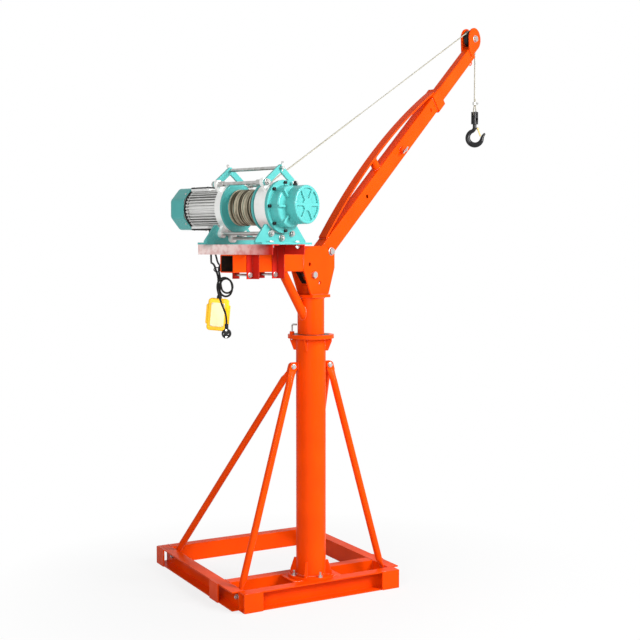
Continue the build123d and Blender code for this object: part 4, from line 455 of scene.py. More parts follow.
def mesh_of(name, build):
    """A closed mesh with outward faces, from a build: its points and its faces."""
    mesh = bpy.data.meshes.new(name)
    mesh.from_pydata(build[0], [], build[1])
    mesh.validate()
    work = bmesh.new()
    work.from_mesh(mesh)
    bmesh.ops.recalc_face_normals(work, faces=work.faces)
    work.to_mesh(mesh)
    work.free()
    return mesh


def rows_joined(rows, ring):
    """A skin over closed rows of points. In a ring the last row meets the first. Otherwise both are capped."""
    width, count = len(rows[0]), len(rows)
    faces = []
    for row in range(count if ring else count - 1):
        here, there = row * width, (row + 1) % count * width
        for spot in range(width):
            after = (spot + 1) % width
            faces.append((here + spot, here + after, there + after, there + spot))
    if not ring:
        faces += [tuple(range(width)), tuple(range((count - 1) * width, count * width))]
    return [place for row in rows for place in row], faces


def rings_along(line, ring, closed=False):
    """A tube along a line. The ring gives the offsets at a point, from the run so far and the point's index."""
    count = len(line)
    tangents = []
    for index in range(count):
        before = line[index - 1] if closed or index else line[0]
        after = line[(index + 1) % count] if closed or index < count - 1 else line[-1]
        tangents.append((after - before).normalized())
    side = tangents[0].orthogonal().normalized()
    rows = []
    run = 0.0
    for index, (point, tangent) in enumerate(zip(line, tangents)):
        side = (side - tangent * side.dot(tangent)).normalized()
        up = tangent.cross(side)
        if index:
            run += (point - line[index - 1]).length
        rows.append([point + side * across + up * rise for across, rise in ring(run, index)])
    return rows_joined(rows, closed)


STRANDS = 6
STRAND_VALLEY = 0.92


def laid_rope(name, line, finish="wire_rope"):
    """A rope of strands turned about its line."""

    def strands(run, index):
        turn = 2 * math.pi * run / ROPE_LAY
        ring = []
        for spot in range(2 * STRANDS):
            reach_out = ROPE_R if spot % 2 == 0 else STRAND_VALLEY * ROPE_R
            angle = turn + spot * math.pi / STRANDS
            ring.append((reach_out * math.cos(angle), reach_out * math.sin(angle)))
        return ring

    return piece(name, mesh_of(name, rings_along(line, strands)), finish)


# Rope: the winding, the taut span, the fall and the eye

reach = HEAD_CENTRE - Vector((WINCH_X, 0, WINCH_Z))
pitch_step = WIND_R - SHEAVE_PITCH_R
span_rad = math.atan2(reach.z, reach.x) - math.atan2(pitch_step, math.sqrt(reach.length_squared - pitch_step**2))
span_normal = Vector((-math.sin(span_rad), 0, math.cos(span_rad)))
span_along = Vector((math.cos(span_rad), 0, math.sin(span_rad)))
leave_point = winch_point(0, WIND_END_Y, 0) + span_normal * WIND_R
arrive_point = HEAD_CENTRE + span_normal * SHEAVE_PITCH_R
TURN_POINTS = 24


def wind_point(turn):
    """A control point of the winding, counted in turns back from where the rope leaves the drum."""
    angle = span_rad + math.pi / 2 + 2 * math.pi * turn
    # The turns lie unevenly, all but the last two
    loose = min(1.0, 0.5 * turn)
    lift = loose * (0.0012 + 0.0007 * math.sin(2.7 * turn) + 0.0005 * math.sin(7.1 * turn + 1.0))
    drift = loose * (0.0008 * math.sin(1.9 * turn) + 0.0004 * math.sin(5.3 * turn + 2.0))
    wide = (WIND_R + lift) / math.cos(math.pi / TURN_POINTS) ** 0.75
    return winch_point(wide * math.cos(angle), WIND_END_Y + WIND_PITCH * turn + drift, wide * math.sin(angle))


winding_line = [wind_point(step / TURN_POINTS) for step in range(WIND_TURNS * TURN_POINTS, -1, -1)]
winding = laid_rope("rope_turns", line_of(winding_line, 6), WOUND_ROPE)
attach(winding, "drum")
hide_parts("rope_winding")

span_start = leave_point + span_along * ROPE_R * 2
span_middle = span_start.lerp(arrive_point, SPAN_SPLIT)
lower_line = [span_start, span_start.lerp(span_middle, 0.5), span_middle]
lower_span = laid_rope("rope_run_low", line_of(lower_line, 130))
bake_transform(lower_span)
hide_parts("rope_lower_span")

WRAP_STEPS = 6
WRAP_SWELL = 1.012
wrap_turn = span_rad + math.pi / 2
wrap_rads = [wrap_turn - step * wrap_turn / WRAP_STEPS for step in range(1, WRAP_STEPS)]
wrap = [HEAD_CENTRE + Vector((math.cos(a), 0, math.sin(a))) * SHEAVE_PITCH_R * WRAP_SWELL for a in wrap_rads]
fall_top = Vector((FALL_X, 0, HEAD_CENTRE.z))
upper_line = [span_middle, span_middle.lerp(arrive_point, 0.5), arrive_point - span_along * 0.03, arrive_point]
upper_line += wrap + [fall_top]
upper_span = laid_rope("rope_run_high", line_of(upper_line, 60))
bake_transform(upper_span)
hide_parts("rope_upper_span")

fall_low = Vector((FALL_X, 0, FALL_LOW_Z))
fall = laid_rope("rope_drop", line_of([fall_top, fall_top.lerp(fall_low, 0.5), fall_low], 60))
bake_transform(fall)
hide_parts("rope_fall")

EYE_HALF = 0.0125
eye_x = FALL_X + 0.0035
tail_x = FALL_X + 0.007
neck_z, shoulder_z, eye_low_z = EYE_Z - 0.020, EYE_Z - 0.046, EYE_Z - 0.072
EYE_ROUTE = (
    (FALL_X, EYE_Z), (FALL_X, neck_z), (eye_x - EYE_HALF, shoulder_z), (eye_x - EYE_HALF, eye_low_z),
    (eye_x + EYE_HALF, eye_low_z), (eye_x + EYE_HALF, shoulder_z), (tail_x, neck_z), (tail_x, EYE_Z + 0.014),
)
eye = laid_rope("rope_loop", line_of([Vector((x, 0, z)) for x, z in EYE_ROUTE], 16))
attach(eye, "hook_block")
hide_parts("rope_eye")

# Cables: from the motor's lower cover along the rail to the tie, then hanging in loops

PENDANT_CABLE_RUN = (
    (-0.3475, 0.25, 0.087), (-0.3475, 0.25, 0.062), (-0.35, 0.247, 0.032), (-0.358, 0.238, 0.002),
    (-0.376, 0.22, -0.02), (-0.402, 0.194, -0.03), (-0.434, 0.162, -0.034), (-0.464, 0.13, -0.034),
    (-0.49, 0.098, -0.036), (-0.508, 0.072, -0.044), (-0.519, 0.056, -0.058),
)
PENDANT_CABLE_HANG = (
    (0.005, 0.006, -0.084), (0.006, 0.008, -0.11), (0.0088, 0.01, -0.134), (0.0166, 0.012, -0.155),
    (0.033, 0.0125, -0.164), (0.0505, 0.011, -0.1585), (0.06, 0.008, -0.1395), (0.0593, 0.004, -0.117),
    (0.052, 0, -0.0995), (0.0356, -0.0048, -0.092), (0.0194, -0.0089, -0.098), (0.0119, -0.011, -0.1125),
    (0.0109, -0.011, -0.131), (0.009, -0.011, -0.153),
)
POWER_LEAD_RUN = (
    (-0.3475, 0.232, 0.087), (-0.3475, 0.232, 0.062), (-0.35, 0.226, 0.034), (-0.357, 0.214, 0.004),
    (-0.37, 0.194, -0.018), (-0.39, 0.17, -0.031), (-0.418, 0.136, -0.039), (-0.446, 0.104, -0.042),
    (-0.472, 0.078, -0.044), (-0.494, 0.061, -0.048), (-0.51, 0.049, -0.059),
)
POWER_LEAD_HANG = (
    (0.012, 0.011, -0.082), (0.015, 0.016, -0.104), (0.0175, 0.02, -0.1245), (0.023, 0.023, -0.142),
    (0.04, 0.025, -0.1505), (0.0575, 0.0255, -0.1435), (0.0645, 0.025, -0.124), (0.0575, 0.024, -0.104),
    (0.043, 0.024, -0.091), (0.026, 0.026, -0.088), (0.009, 0.028, -0.098), (0.002, 0.03, -0.122),
    (0.008, 0.032, -0.153), (0.018, 0.034, -0.184), (0.029, 0.035, -0.212), (0.039, 0.035, -0.238),
    (0.039, 0.035, -0.268),
)


def cable(name, run, hang, radius):
    """A round cable along its route, as one smooth curve, and its length."""
    points = [Vector(spot) + UP * BEAM_TOP_Z for spot in run] + [from_tie(*spot) for spot in hang]
    made = smooth_curve(name, points, 10)
    made.data.bevel_depth = radius
    made.data.bevel_resolution = 4
    made.data.use_fill_caps = True
    made.data.materials.append(FINISHES["cable_rubber"])
    line = line_of(points, 10)
    length = sum((after - before).length for before, after in zip(line, line[1:]))
    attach(made, "upper")
    return made, length


pendant_cable, pendant_cable_length = cable("pendant_cord", PENDANT_CABLE_RUN, PENDANT_CABLE_HANG, CORD_R)
power_lead, power_lead_length = cable("supply_cord", POWER_LEAD_RUN, POWER_LEAD_HANG, LEAD_R)
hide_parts("pendant_cable")
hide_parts("power_lead")

# Places of the welded steel, then the ways to make beads and turned shapes

CHANNEL_H = 0.080
CHANNEL_W = 0.050
SEAT_WEB = 0.065
SIDE_WEB_X = 0.354
FRONT_HALF = 0.374
REAR_WEB_Y = 0.720
REAR_Y = 0.770
POCKET_L = 0.086
POCKET_FRONT_Y = 0.066
COLUMN_R = 0.0635
COLUMN_FOOT_Z = 0.090
COLUMN_TOP_Z = 1.119
TOP_FLANGE_Z = 1.103
RIB_HALF = 0.003
RIB_REACH = 0.091
FOOT_RIB_H = 0.062
TOP_RIB_H = 0.052
LUG_Z = 0.985
LUG_R = 0.018
UPPER_R = 0.057
UPPER_PLATE_Z = 1.276
CHEEK_FOOT_Z = 1.288
CHEEK_HALF = 0.036
CHEEK_WELD_XS = (-0.040, 0.060)
BEAM_HALF = 0.035
BEAM_END_X = -0.515
BEAM_ROOT_X = -0.092
BEAM_SEAM_Z = 1.401
STRUT_R = 0.019
STRUT_TOP_X = -0.186
STRUT_FOOT_Z = 1.214
BOOM_TOP = 0.048
BOOM_LOW = -0.027
BOOM_HALF = 0.025
HEEL_INSET = 0.0042
BOOM_CORNER_R = 0.004
HEEL_X = -0.1848
STRAP_X = 0.027
STRAP_WELD_HALF = 0.021
POST_X = 0.530
POST_WELD_R = 0.0198
POST_WELD_TOP = 0.0488
LOCK_X = 0.711
LOCK_Z = 0.0105
NUT_WELD_R = 0.0160
COLLAR_X = 1.0800
EXT_HALF = 0.0195
EXT_END_X = 1.546
RING_X = 1.514
RING_HALF = 0.013
RING_Z = -0.0217
RING_WELD_R = 0.0032

BEAD_STEP = 0.0018
BEAD_PITCH = 0.0060
BEAD_SINK = 0.001
BEAD_SIDES = 6
BEAD_SWELL = 0.16
BEAD_WANDER = 0.06
BEAD_TIP = 0.45


def turned(spot, axis, profile, sides=24, ring=True, first=None):
    """A turned shape. Rows of the profile are reach and rise, and a row with True after them is a hexagon."""
    axis = axis.normalized()
    side = (first or axis.orthogonal()).normalized()
    up = axis.cross(side)
    rows = []
    for reach_out, rise, *hexagon in profile:
        row = []
        for step in range(sides):
            angle = 2 * math.pi * (step + 0.5) / sides
            wide = reach_out
            if hexagon:
                wide *= math.cos(math.pi / 6) / math.cos(angle % (math.pi / 3) - math.pi / 6)
            row.append(spot + axis * rise + side * (wide * math.cos(angle)) + up * (wide * math.sin(angle)))
        rows.append(row)
    return rows_joined(rows, ring)


def joined(builds):
    """Several builds as one."""
    places, faces = [], []
    for more_places, more_faces in builds:
        start = len(places)
        places += more_places
        faces += [tuple(start + corner for corner in face) for face in more_faces]
    return places, faces


def bead(corners, radius, closed=False):
    """A weld bead along straight runs: overlapping ripples, thinner where an open run starts and stops."""
    stops = list(corners) + ([corners[0]] if closed else [])
    line = []
    for start, end in zip(stops, stops[1:]):
        count = max(2, round((end - start).length / BEAD_STEP))
        line += [start.lerp(end, step / count) for step in range(count)]
    if not closed:
        line.append(stops[-1])
    last = len(line) - 1

    def ripple(run, index):
        swell = 1 + BEAD_SWELL * math.sin(2 * math.pi * run / BEAD_PITCH) + BEAD_WANDER * math.sin(97 * run)
        swell *= radius
        if not closed and index in (0, last):
            swell *= BEAD_TIP
        turns = [2 * spot * math.pi / BEAD_SIDES for spot in range(BEAD_SIDES)]
        return [(swell * math.cos(a), swell * math.sin(a)) for a in turns]

    return rings_along(line, ripple, closed)


def round_bead(centre, axis, reach_out, radius, sides=48):
    """A weld bead round a tube."""
    side = axis.orthogonal().normalized()
    up = axis.normalized().cross(side)
    turns = [2 * math.pi * step / sides for step in range(sides)]
    rim = [centre + side * (reach_out * math.cos(a)) + up * (reach_out * math.sin(a)) for a in turns]
    return bead(rim, radius, True)


def put(name, builds, finish, body, smooth=True):
    """Several builds as one piece on a body."""
    return piece(name, mesh_of(name, joined(builds)), finish, body, smooth)


# Welds of the floor frame and the column. A bead's line runs a little outside the corner that it fills

FRAME_BEAD = 0.0026
POCKET_BEAD = 0.7 * FRAME_BEAD
BEAD_LOW_Z = 0.002


def up_and_over(start, end):
    """A bead up a channel's web at the start, then along its top flange to the end."""
    corners = [base_point(*start, BEAD_LOW_Z), base_point(*start, CHANNEL_H), base_point(*end, CHANNEL_H)]
    return bead(corners, FRAME_BEAD)


def top_seam(start, end):
    """A thin bead along the top edge of a corner pocket."""
    return bead([base_point(*spot, CHANNEL_H - BEAD_SINK) for spot in (start, end)], POCKET_BEAD)


frame_beads = []
for sign in (-1, 1):
    web_y = -SEAT_WEB + BEAD_SINK
    frame_beads.append(up_and_over((sign * SIDE_WEB_X, web_y), (sign * FRONT_HALF, web_y)))
    side_x = sign * SIDE_WEB_X - sign * BEAD_SINK
    for web_y in (SEAT_WEB, REAR_WEB_Y):
        frame_beads.append(up_and_over((side_x, web_y), (side_x, web_y + CHANNEL_W)))
    for seat_sign in (-1, 1):
        seat_y = seat_sign * (SEAT_WEB - BEAD_SINK)
        frame_beads.append(up_and_over((sign * SEAT_WEB, seat_y), (sign * (SEAT_WEB + CHANNEL_W), seat_y)))
    front_y = -SEAT_WEB - CHANNEL_W
    frame_beads.append(top_seam((sign * (FRONT_HALF - POCKET_L), front_y), (sign * FRONT_HALF, front_y)))
    edge_x = sign * (SIDE_WEB_X + CHANNEL_W)
    for pocket_y in (POCKET_FRONT_Y, REAR_Y - POCKET_L):
        frame_beads.append(top_seam((edge_x, pocket_y), (edge_x, pocket_y + POCKET_L)))
put("frame_welds", frame_beads, WELD_PAINT, "base")

COLUMN_BEAD = 0.0036
RIB_BEAD = 0.0024
column_beads = [
    round_bead(UP * (COLUMN_FOOT_Z + BEAD_SINK), UP, COLUMN_R + BEAD_SINK, COLUMN_BEAD),
    round_bead(UP * (TOP_FLANGE_Z - BEAD_SINK), UP, COLUMN_R + BEAD_SINK, COLUMN_BEAD),
]
rib_ends = ((COLUMN_FOOT_Z, COLUMN_FOOT_Z + FOOT_RIB_H), (TOP_FLANGE_Z, TOP_FLANGE_Z - TOP_RIB_H))
for step in range(4):
    angle = math.radians(45 + 90 * step - SLEW_DEG)
    out = Vector((math.cos(angle), math.sin(angle), 0))
    beside = UP.cross(out)
    for sign in (-1, 1):
        edge = beside * (sign * (RIB_HALF + 0.0005))
        for root_z, tip_z in rib_ends:
            column_beads.append(bead([
                out * COLUMN_R + edge + UP * tip_z, out * COLUMN_R + edge + UP * root_z,
                out * RIB_REACH + edge + UP * root_z,
            ], RIB_BEAD))
for sign in (-1, 1):
    for side in (-1, 1):
        edge = base_x * (sign * (COLUMN_R - 0.0003)) + base_y * (side * (RIB_HALF + 0.0008))
        column_beads.append(bead([edge + UP * (LUG_Z - LUG_R), edge + UP * (LUG_Z + LUG_R)], RIB_BEAD))
put("column_welds", column_beads, WELD_PAINT, "base")

# Grease pressed out where the upper column turns in the top flange

GREASE_SIDES = 72
GREASE_REACH = 0.0800
GREASE_LOW = -0.0004
grease_root = UPPER_R + 0.0006
grease_rows = ([], [], [], [])
for step in range(GREASE_SIDES):
    angle = 2 * math.pi * step / GREASE_SIDES
    out = Vector((math.cos(angle), math.sin(angle), 0))
    spread = GREASE_REACH + 0.0016 * math.sin(5 * angle + 1) + 0.0012 * math.sin(11 * angle)
    spread += 0.0008 * math.sin(23 * angle)
    section = ((grease_root, GREASE_LOW), (grease_root, 0.0022), (spread - 0.002, 0.0011), (spread, GREASE_LOW))
    for row, (reach_out, rise) in zip(grease_rows, section):
        row.append(out * reach_out + UP * (COLUMN_TOP_Z + rise))
put("flange_grease", [rows_joined(grease_rows, True)], GREASE, "base")

# Welds of the upper column, cheeks, winch beam and strut

UPPER_BEAD = 0.0030
CHEEK_BEAD = 0.0028
BEAM_BEAD = 0.0026
STRUT_SIDES = 40
strut_top = Vector((STRUT_TOP_X, 0, BEAM_TOP_Z - 2 * BEAM_HALF))
strut_foot = Vector((-UPPER_R, 0, STRUT_FOOT_Z))
strut_dir = (strut_top - strut_foot).normalized()
strut_lift = ACROSS.cross(strut_dir)
foot_ring, top_ring = [], []
for step in range(STRUT_SIDES):
    angle = 2 * math.pi * step / STRUT_SIDES
    rim = strut_lift * (STRUT_R * math.cos(angle)) + ACROSS * (STRUT_R * math.sin(angle))
    wall_x = -math.sqrt(UPPER_R**2 - rim.y**2)
    start = strut_foot + rim
    foot_ring.append(start + strut_dir * ((wall_x - start.x) / strut_dir.x))
    top_ring.append(start + strut_dir * ((strut_top.z - start.z) / strut_dir.z))
upper_beads = [
    round_bead(UP * (UPPER_PLATE_Z - BEAD_SINK), UP, UPPER_R + BEAD_SINK, UPPER_BEAD),
    bead(foot_ring, UPPER_BEAD, True), bead(top_ring, BEAM_BEAD, True),
]
for sign in (-1, 1):
    face_y = sign * (CHEEK_HALF + 0.0005)
    upper_beads.append(bead([Vector((x, face_y, CHEEK_FOOT_Z)) for x in CHEEK_WELD_XS], CHEEK_BEAD))
    seam_y = sign * (BEAM_HALF + 0.0006)
    seam_ends = (BEAM_SEAM_Z, BEAM_TOP_Z - 0.002)
    upper_beads.append(bead([Vector((BEAM_ROOT_X, seam_y, z)) for z in seam_ends], BEAM_BEAD))
put("upper_welds", upper_beads, WELD_PAINT, "upper")

# Bare steel inside the open ends of the winch beam and the boom's heel, near black: its own scale and painted
# shade

LINING_T = 0.0008
BORE_HALF = 0.0298
BORE_DEPTH = 0.150
HEEL_DEPTH = 0.022
bore_in, bore_out = BORE_HALF * math.sqrt(2), (BORE_HALF + LINING_T) * math.sqrt(2)
bore = [(bore_in, BORE_DEPTH), (bore_in, 0), (bore_out, 0), (bore_out, BORE_DEPTH + 0.001)]
bore_end = Vector((BEAM_END_X + LINING_T, 0, BEAM_TOP_Z - BEAM_HALF))
beam_bore_shade = turned(bore_end, Vector((1, 0, 0)), bore, 4, False, UP)
put("beam_bore_shade", [beam_bore_shade], MILL_SCALE_AND_SHADE, "upper", smooth=False)


def lining(inset, along):
    """The four corners of the heel's lining at one place along it."""
    wide = BOOM_HALF - HEEL_INSET - inset
    low, high = BOOM_LOW + HEEL_INSET + inset, BOOM_TOP - HEEL_INSET - inset
    return [boom_point(HEEL_X + along, y, z) for y, z in ((-wide, low), (wide, low), (wide, high), (-wide, high))]


heel_rows = [lining(0, 0), lining(LINING_T, 0), lining(LINING_T, HEEL_DEPTH), lining(0, HEEL_DEPTH)]
put("heel_bore_shade", [rows_joined(heel_rows, True)], MILL_SCALE_AND_SHADE, "boom", smooth=False)

# Welds of the boom: strap, post, collar and lock nut, and of the extension: head plates and ring

STRAP_BEAD = 0.0028
POST_FOOT_BEAD = 0.0026
POST_HEAD_BEAD = 0.0024
NUT_BEAD = 0.0020
COLLAR_BEAD = 0.0028
PLATE_BEAD = 0.0022
RING_BEAD = 0.0014
flat_half, flat_low, flat_top = BOOM_HALF - BOOM_CORNER_R, BOOM_LOW + BOOM_CORNER_R, BOOM_TOP - BOOM_CORNER_R
COLLAR_EDGE = (
    (-BOOM_HALF, flat_low), (-flat_half, BOOM_LOW), (flat_half, BOOM_LOW), (BOOM_HALF, flat_low),
    (BOOM_HALF, flat_top), (flat_half, BOOM_TOP), (-flat_half, BOOM_TOP), (-BOOM_HALF, flat_top),
)
boom_beads = [
    bead([boom_point(STRAP_X, y, BOOM_TOP + 0.0005) for y in (-STRAP_WELD_HALF, STRAP_WELD_HALF)], STRAP_BEAD),
    round_bead(boom_point(POST_X, 0, BOOM_TOP + BEAD_SINK), boom_z, POST_WELD_R, POST_FOOT_BEAD),
    round_bead(boom_point(POST_X, 0, BOOM_TOP + POST_WELD_TOP), boom_z, POST_WELD_R, POST_HEAD_BEAD),
    round_bead(boom_point(LOCK_X, -BOOM_HALF - 0.0005, LOCK_Z), ACROSS, NUT_WELD_R, NUT_BEAD),
    bead([boom_point(COLLAR_X, y, z) for y, z in COLLAR_EDGE], COLLAR_BEAD, True),
]
put("boom_welds", boom_beads, WELD_PAINT, "boom")

HEAD_PLATE_EDGE = ((-0.012, 0.0005), (-0.0345, 0.0010), (-0.0345, 0.0380))
extension_beads = []
for sign in (-1, 1):
    plate_y = sign * (EXT_HALF + 0.0004)
    extension_beads.append(bead([boom_point(EXT_END_X + x, plate_y, z) for x, z in HEAD_PLATE_EDGE], PLATE_BEAD))
    ring_root = boom_point(RING_X + sign * RING_HALF, 0, RING_Z)
    extension_beads.append(round_bead(ring_root, boom_z, RING_WELD_R, RING_BEAD, 20))
put("extension_welds", extension_beads, WELD_PAINT, "extension")

# Washers under heads and nuts, and threads on the bare tails of bolts and rods


def washer(spot, normal, bolt_d):
    """A plain washer, its face on the spot."""
    wide, tall, narrow = 1.12 * bolt_d, 0.17 * bolt_d, 0.6 * bolt_d
    eased = wide - 0.0003
    rows = [(narrow, 0.0), (eased, 0.0), (wide, 0.3 * tall), (wide, 0.7 * tall), (eased, tall), (narrow, tall)]
    return turned(spot, normal, rows)


def thread(spot, direction, bolt_d, length):
    """Thread ridges along a bare tail."""
    pitch = 0.15 * bolt_d
    rows = [(0.47 * bolt_d, 0.0)]
    for step in range(int(length / pitch)):
        rows += [(0.525 * bolt_d, (step + 0.45) * pitch), (0.495 * bolt_d, (step + 0.95) * pitch)]
    return turned(spot, direction, rows, 18, False)


def fastened(seats):
    """Washers at both seats of each bolt and the thread past its nut."""
    builds = []
    for head, direction, bolt_d, grip, tail in seats:
        nut = head + direction * grip
        builds += [washer(head, direction * -1, bolt_d), washer(nut, direction, bolt_d)]
        builds.append(thread(nut + direction * 0.8 * bolt_d, direction, bolt_d, tail))
    return builds


# Seats of the bolts: place of the head, direction, diameter, grip and bare tail
BOLT_D = 0.010
PIN_D = 0.016
BOLT_TAIL = 0.005
FLANGE_BOLT_REACH, FLANGE_BOLT_Z, FLANGE_GRIP, FLANGE_TAIL = 0.082, 0.075, 0.015, 0.014
BRACE_FOOT_X, BRACE_FOOT_YS, BRACE_FOOT_Z, BRACE_GRIP = 0.346, (-0.022, 0.690), 0.044, 0.013
LUG_BOLT_X, LUG_BOLT_Y, LUG_GRIP = 0.088, -0.011, 0.022
frame_seats = []
for out in (base_x, base_y, base_x * -1, base_y * -1):
    frame_seats.append((out * FLANGE_BOLT_REACH + UP * FLANGE_BOLT_Z, UP, BOLT_D, FLANGE_GRIP, FLANGE_TAIL))
for sign in (-1, 1):
    for brace_y in BRACE_FOOT_YS:
        brace_foot = base_point(sign * BRACE_FOOT_X, brace_y, BRACE_FOOT_Z)
        frame_seats.append((brace_foot, base_x * sign, BOLT_D, BRACE_GRIP, BOLT_TAIL))
    lug_seat = base_point(sign * LUG_BOLT_X, LUG_BOLT_Y, LUG_Z)
    frame_seats.append((lug_seat, base_y, BOLT_D, LUG_GRIP, BOLT_TAIL))
put("frame_washers", fastened(frame_seats), "zinc_steel", "base")

CLAMP_BOLT_XS, CLAMP_BOLT_Y, CLAMP_BOLT_Z, CLAMP_GRIP = (-0.425, -0.274), -0.039, 1.378, 0.078
FOOT_BOLT_XS, FOOT_BOLT_YS, FOOT_BOLT_Z, FOOT_GRIP = (-0.425, -0.270), (0.160, -0.152), 1.506, 0.012
PIVOT_TAIL = 0.006
ROD_SPOTS = ((-0.083, 0.093), (0.083, 0.093), (-0.062, -0.104), (0.062, -0.104), (0, -0.122))
ROD_ENDS = ((0.142, 1), (-0.134, -1))
ROD_WASHER_D, ROD_D, ROD_NUT = 0.0125, 0.014, 0.009
upper_seats = []
for bolt_x in CLAMP_BOLT_XS:
    clamp_seat = Vector((bolt_x, CLAMP_BOLT_Y, CLAMP_BOLT_Z))
    upper_seats.append((clamp_seat, ACROSS, BOLT_D, CLAMP_GRIP, BOLT_TAIL))
for bolt_y in FOOT_BOLT_YS:
    for bolt_x in FOOT_BOLT_XS:
        foot_seat = Vector((bolt_x, bolt_y, FOOT_BOLT_Z))
        upper_seats.append((foot_seat, UP * -1, BOLT_D, FOOT_GRIP, BOLT_TAIL))
upper_seats.append((PIVOT - ACROSS * CHEEK_HALF, ACROSS, PIN_D, 2 * CHEEK_HALF, PIVOT_TAIL))
rod_tails = []
for rod_x, rod_z in ROD_SPOTS:
    for face_y, way in ROD_ENDS:
        rod_tails.append(washer(winch_point(rod_x, face_y, rod_z), ACROSS * way, ROD_WASHER_D))
        rod_tails.append(thread(winch_point(rod_x, face_y + way * ROD_NUT, rod_z), ACROSS * way, ROD_D, BOLT_TAIL))
put("upper_washers", fastened(upper_seats) + rod_tails, "zinc_steel", "upper")

HEAD_PLATE_OUT = 0.0255
head_seat = (HEAD_CENTRE - ACROSS * HEAD_PLATE_OUT, ACROSS, PIN_D, 2 * HEAD_PLATE_OUT, BOLT_TAIL)
put("axle_washers", fastened([head_seat]), "zinc_steel", "extension")

# Small fittings of the winch: black gasket (also painted gap shade) and teeth (painted vent shade) at the fan
# cover, screws of the covers


def dome_screw(spot, normal, radius):
    """A domed screw with a hexagon socket."""
    shares = ((1, -0.2), (1, 0.25), (0.92, 0.5), (0.75, 0.66), (0.5, 0.72, True), (0.48, 0.25, True))
    rows = [(out * radius, rise * radius, *hexagon) for out, rise, *hexagon in shares]
    return turned(spot, normal, rows, 24, False)


# A black gasket ring, also painted shade of the gap between the motor and its fan cover
GASKET_Y = 0.320
GASKET = (
    (0.0772, -0.0034), (0.0832, -0.0034), (0.0838, -0.0024), (0.0838, -0.0006), (0.0832, 0.0001), (0.0772, 0.0001),
)
put("fan_gasket_and_gap_shade", [turned(winch_point(0, GASKET_Y, 0), ACROSS, GASKET, 64)], "black_plastic", "upper")

# Black teeth: painted shade of the dark vent slots between the motor and its fan cover
# Teeth only at the two sides: the motor's covers take up its top and bottom
TEETH = 36
TOOTH_Y = 0.3131
TOOTH_ROOT_R = 0.0775
TOOTH_SIDE = 0.58
TOOTH = ((0.0044, 0), (0.0044, 0.0042), (0.0036, 0.0050))
vent_shade_teeth = []
for step in range(TEETH):
    angle = 2 * math.pi * (step + 0.5) / TEETH
    out = Vector((math.cos(angle), 0, math.sin(angle)))
    if abs(out.x) > TOOTH_SIDE:
        vent_shade_teeth.append(turned(winch_point(0, TOOTH_Y, 0) + out * TOOTH_ROOT_R, out, TOOTH, 4, False, ACROSS))
put("vent_shade_teeth", vent_shade_teeth, "black_plastic", "upper", smooth=False)

FAN_SCREW_Y = 0.331
FAN_SCREW_REACH = 0.0858
FAN_SCREW_R = 0.0042
fan_screws = []
for step in range(4):
    angle = math.pi / 4 + step * math.pi / 2
    out = Vector((math.cos(angle), 0, math.sin(angle)))
    fan_screws.append(dome_screw(winch_point(0, FAN_SCREW_Y, 0) + out * FAN_SCREW_REACH, out, FAN_SCREW_R))
put("fan_screws", fan_screws, "zinc_steel", "upper")

GEAR_SCREW_Y = -0.161
GEAR_SCREW_REACH = 0.094
SUNK_SCREW = ((0.0064, -0.002), (0.0064, 0.0008), (0.0058, 0.0014), (0.0036, 0.0014, True), (0.0034, 0.0002, True))
gear_screws = []
for step in range(5):
    angle = math.pi / 2 + step * math.pi / 4
    spot = winch_point(GEAR_SCREW_REACH * math.cos(angle), GEAR_SCREW_Y, GEAR_SCREW_REACH * math.sin(angle))
    gear_screws.append(turned(spot, ACROSS * -1, SUNK_SCREW, 24, False))
put("gear_screws", gear_screws, "black_steel", "upper")

COVER_SCREW_X = 0.034
COVER_SCREW_YS = (0.231, 0.309)
COVER_SCREW_Z = 0.0878
COVER_SCREW_R = 0.0030
cover_screws = []
for sign in (-1, 1):
    for x in (-COVER_SCREW_X, COVER_SCREW_X):
        for y in COVER_SCREW_YS:
            cover_screws.append(dome_screw(winch_point(x, y, sign * COVER_SCREW_Z), UP * sign, COVER_SCREW_R))
put("cover_screws", cover_screws, "zinc_steel", "upper")

# Spring of the hook's latch

HOOK_EYE = Vector((1.322047, 0, 2.114716))
LATCH_RIGHT = 0.016
LATCH_DROP = 0.022
SPRING_TURNS = 4
SPRING_STEPS = 16
SPRING_R = 0.0048
SPRING_W = 0.0104
WIRE_R = 0.0007
WIRE_TURNS = (0, 1.26, 2.51, 3.77, 5.03)
wire_ring = [(WIRE_R * math.cos(a), WIRE_R * math.sin(a)) for a in WIRE_TURNS]
latch_pin = HOOK_EYE + view_right * LATCH_RIGHT - UP * LATCH_DROP
spring_line = []
for step in range(SPRING_TURNS * SPRING_STEPS + 1):
    angle = 2 * math.pi * step / SPRING_STEPS
    coil = view_right * (SPRING_R * math.cos(angle)) + UP * (SPRING_R * math.sin(angle))
    along = -SPRING_W / 2 + SPRING_W * step / (SPRING_TURNS * SPRING_STEPS)
    spring_line.append(latch_pin + coil + view_near * along)
put("latch_spring", [rings_along(spring_line, lambda run, index: wire_ring)], "zinc_steel", "hook")

# Plug: sleeves on its pins and two earth springs on its face, then its rim and grip ring

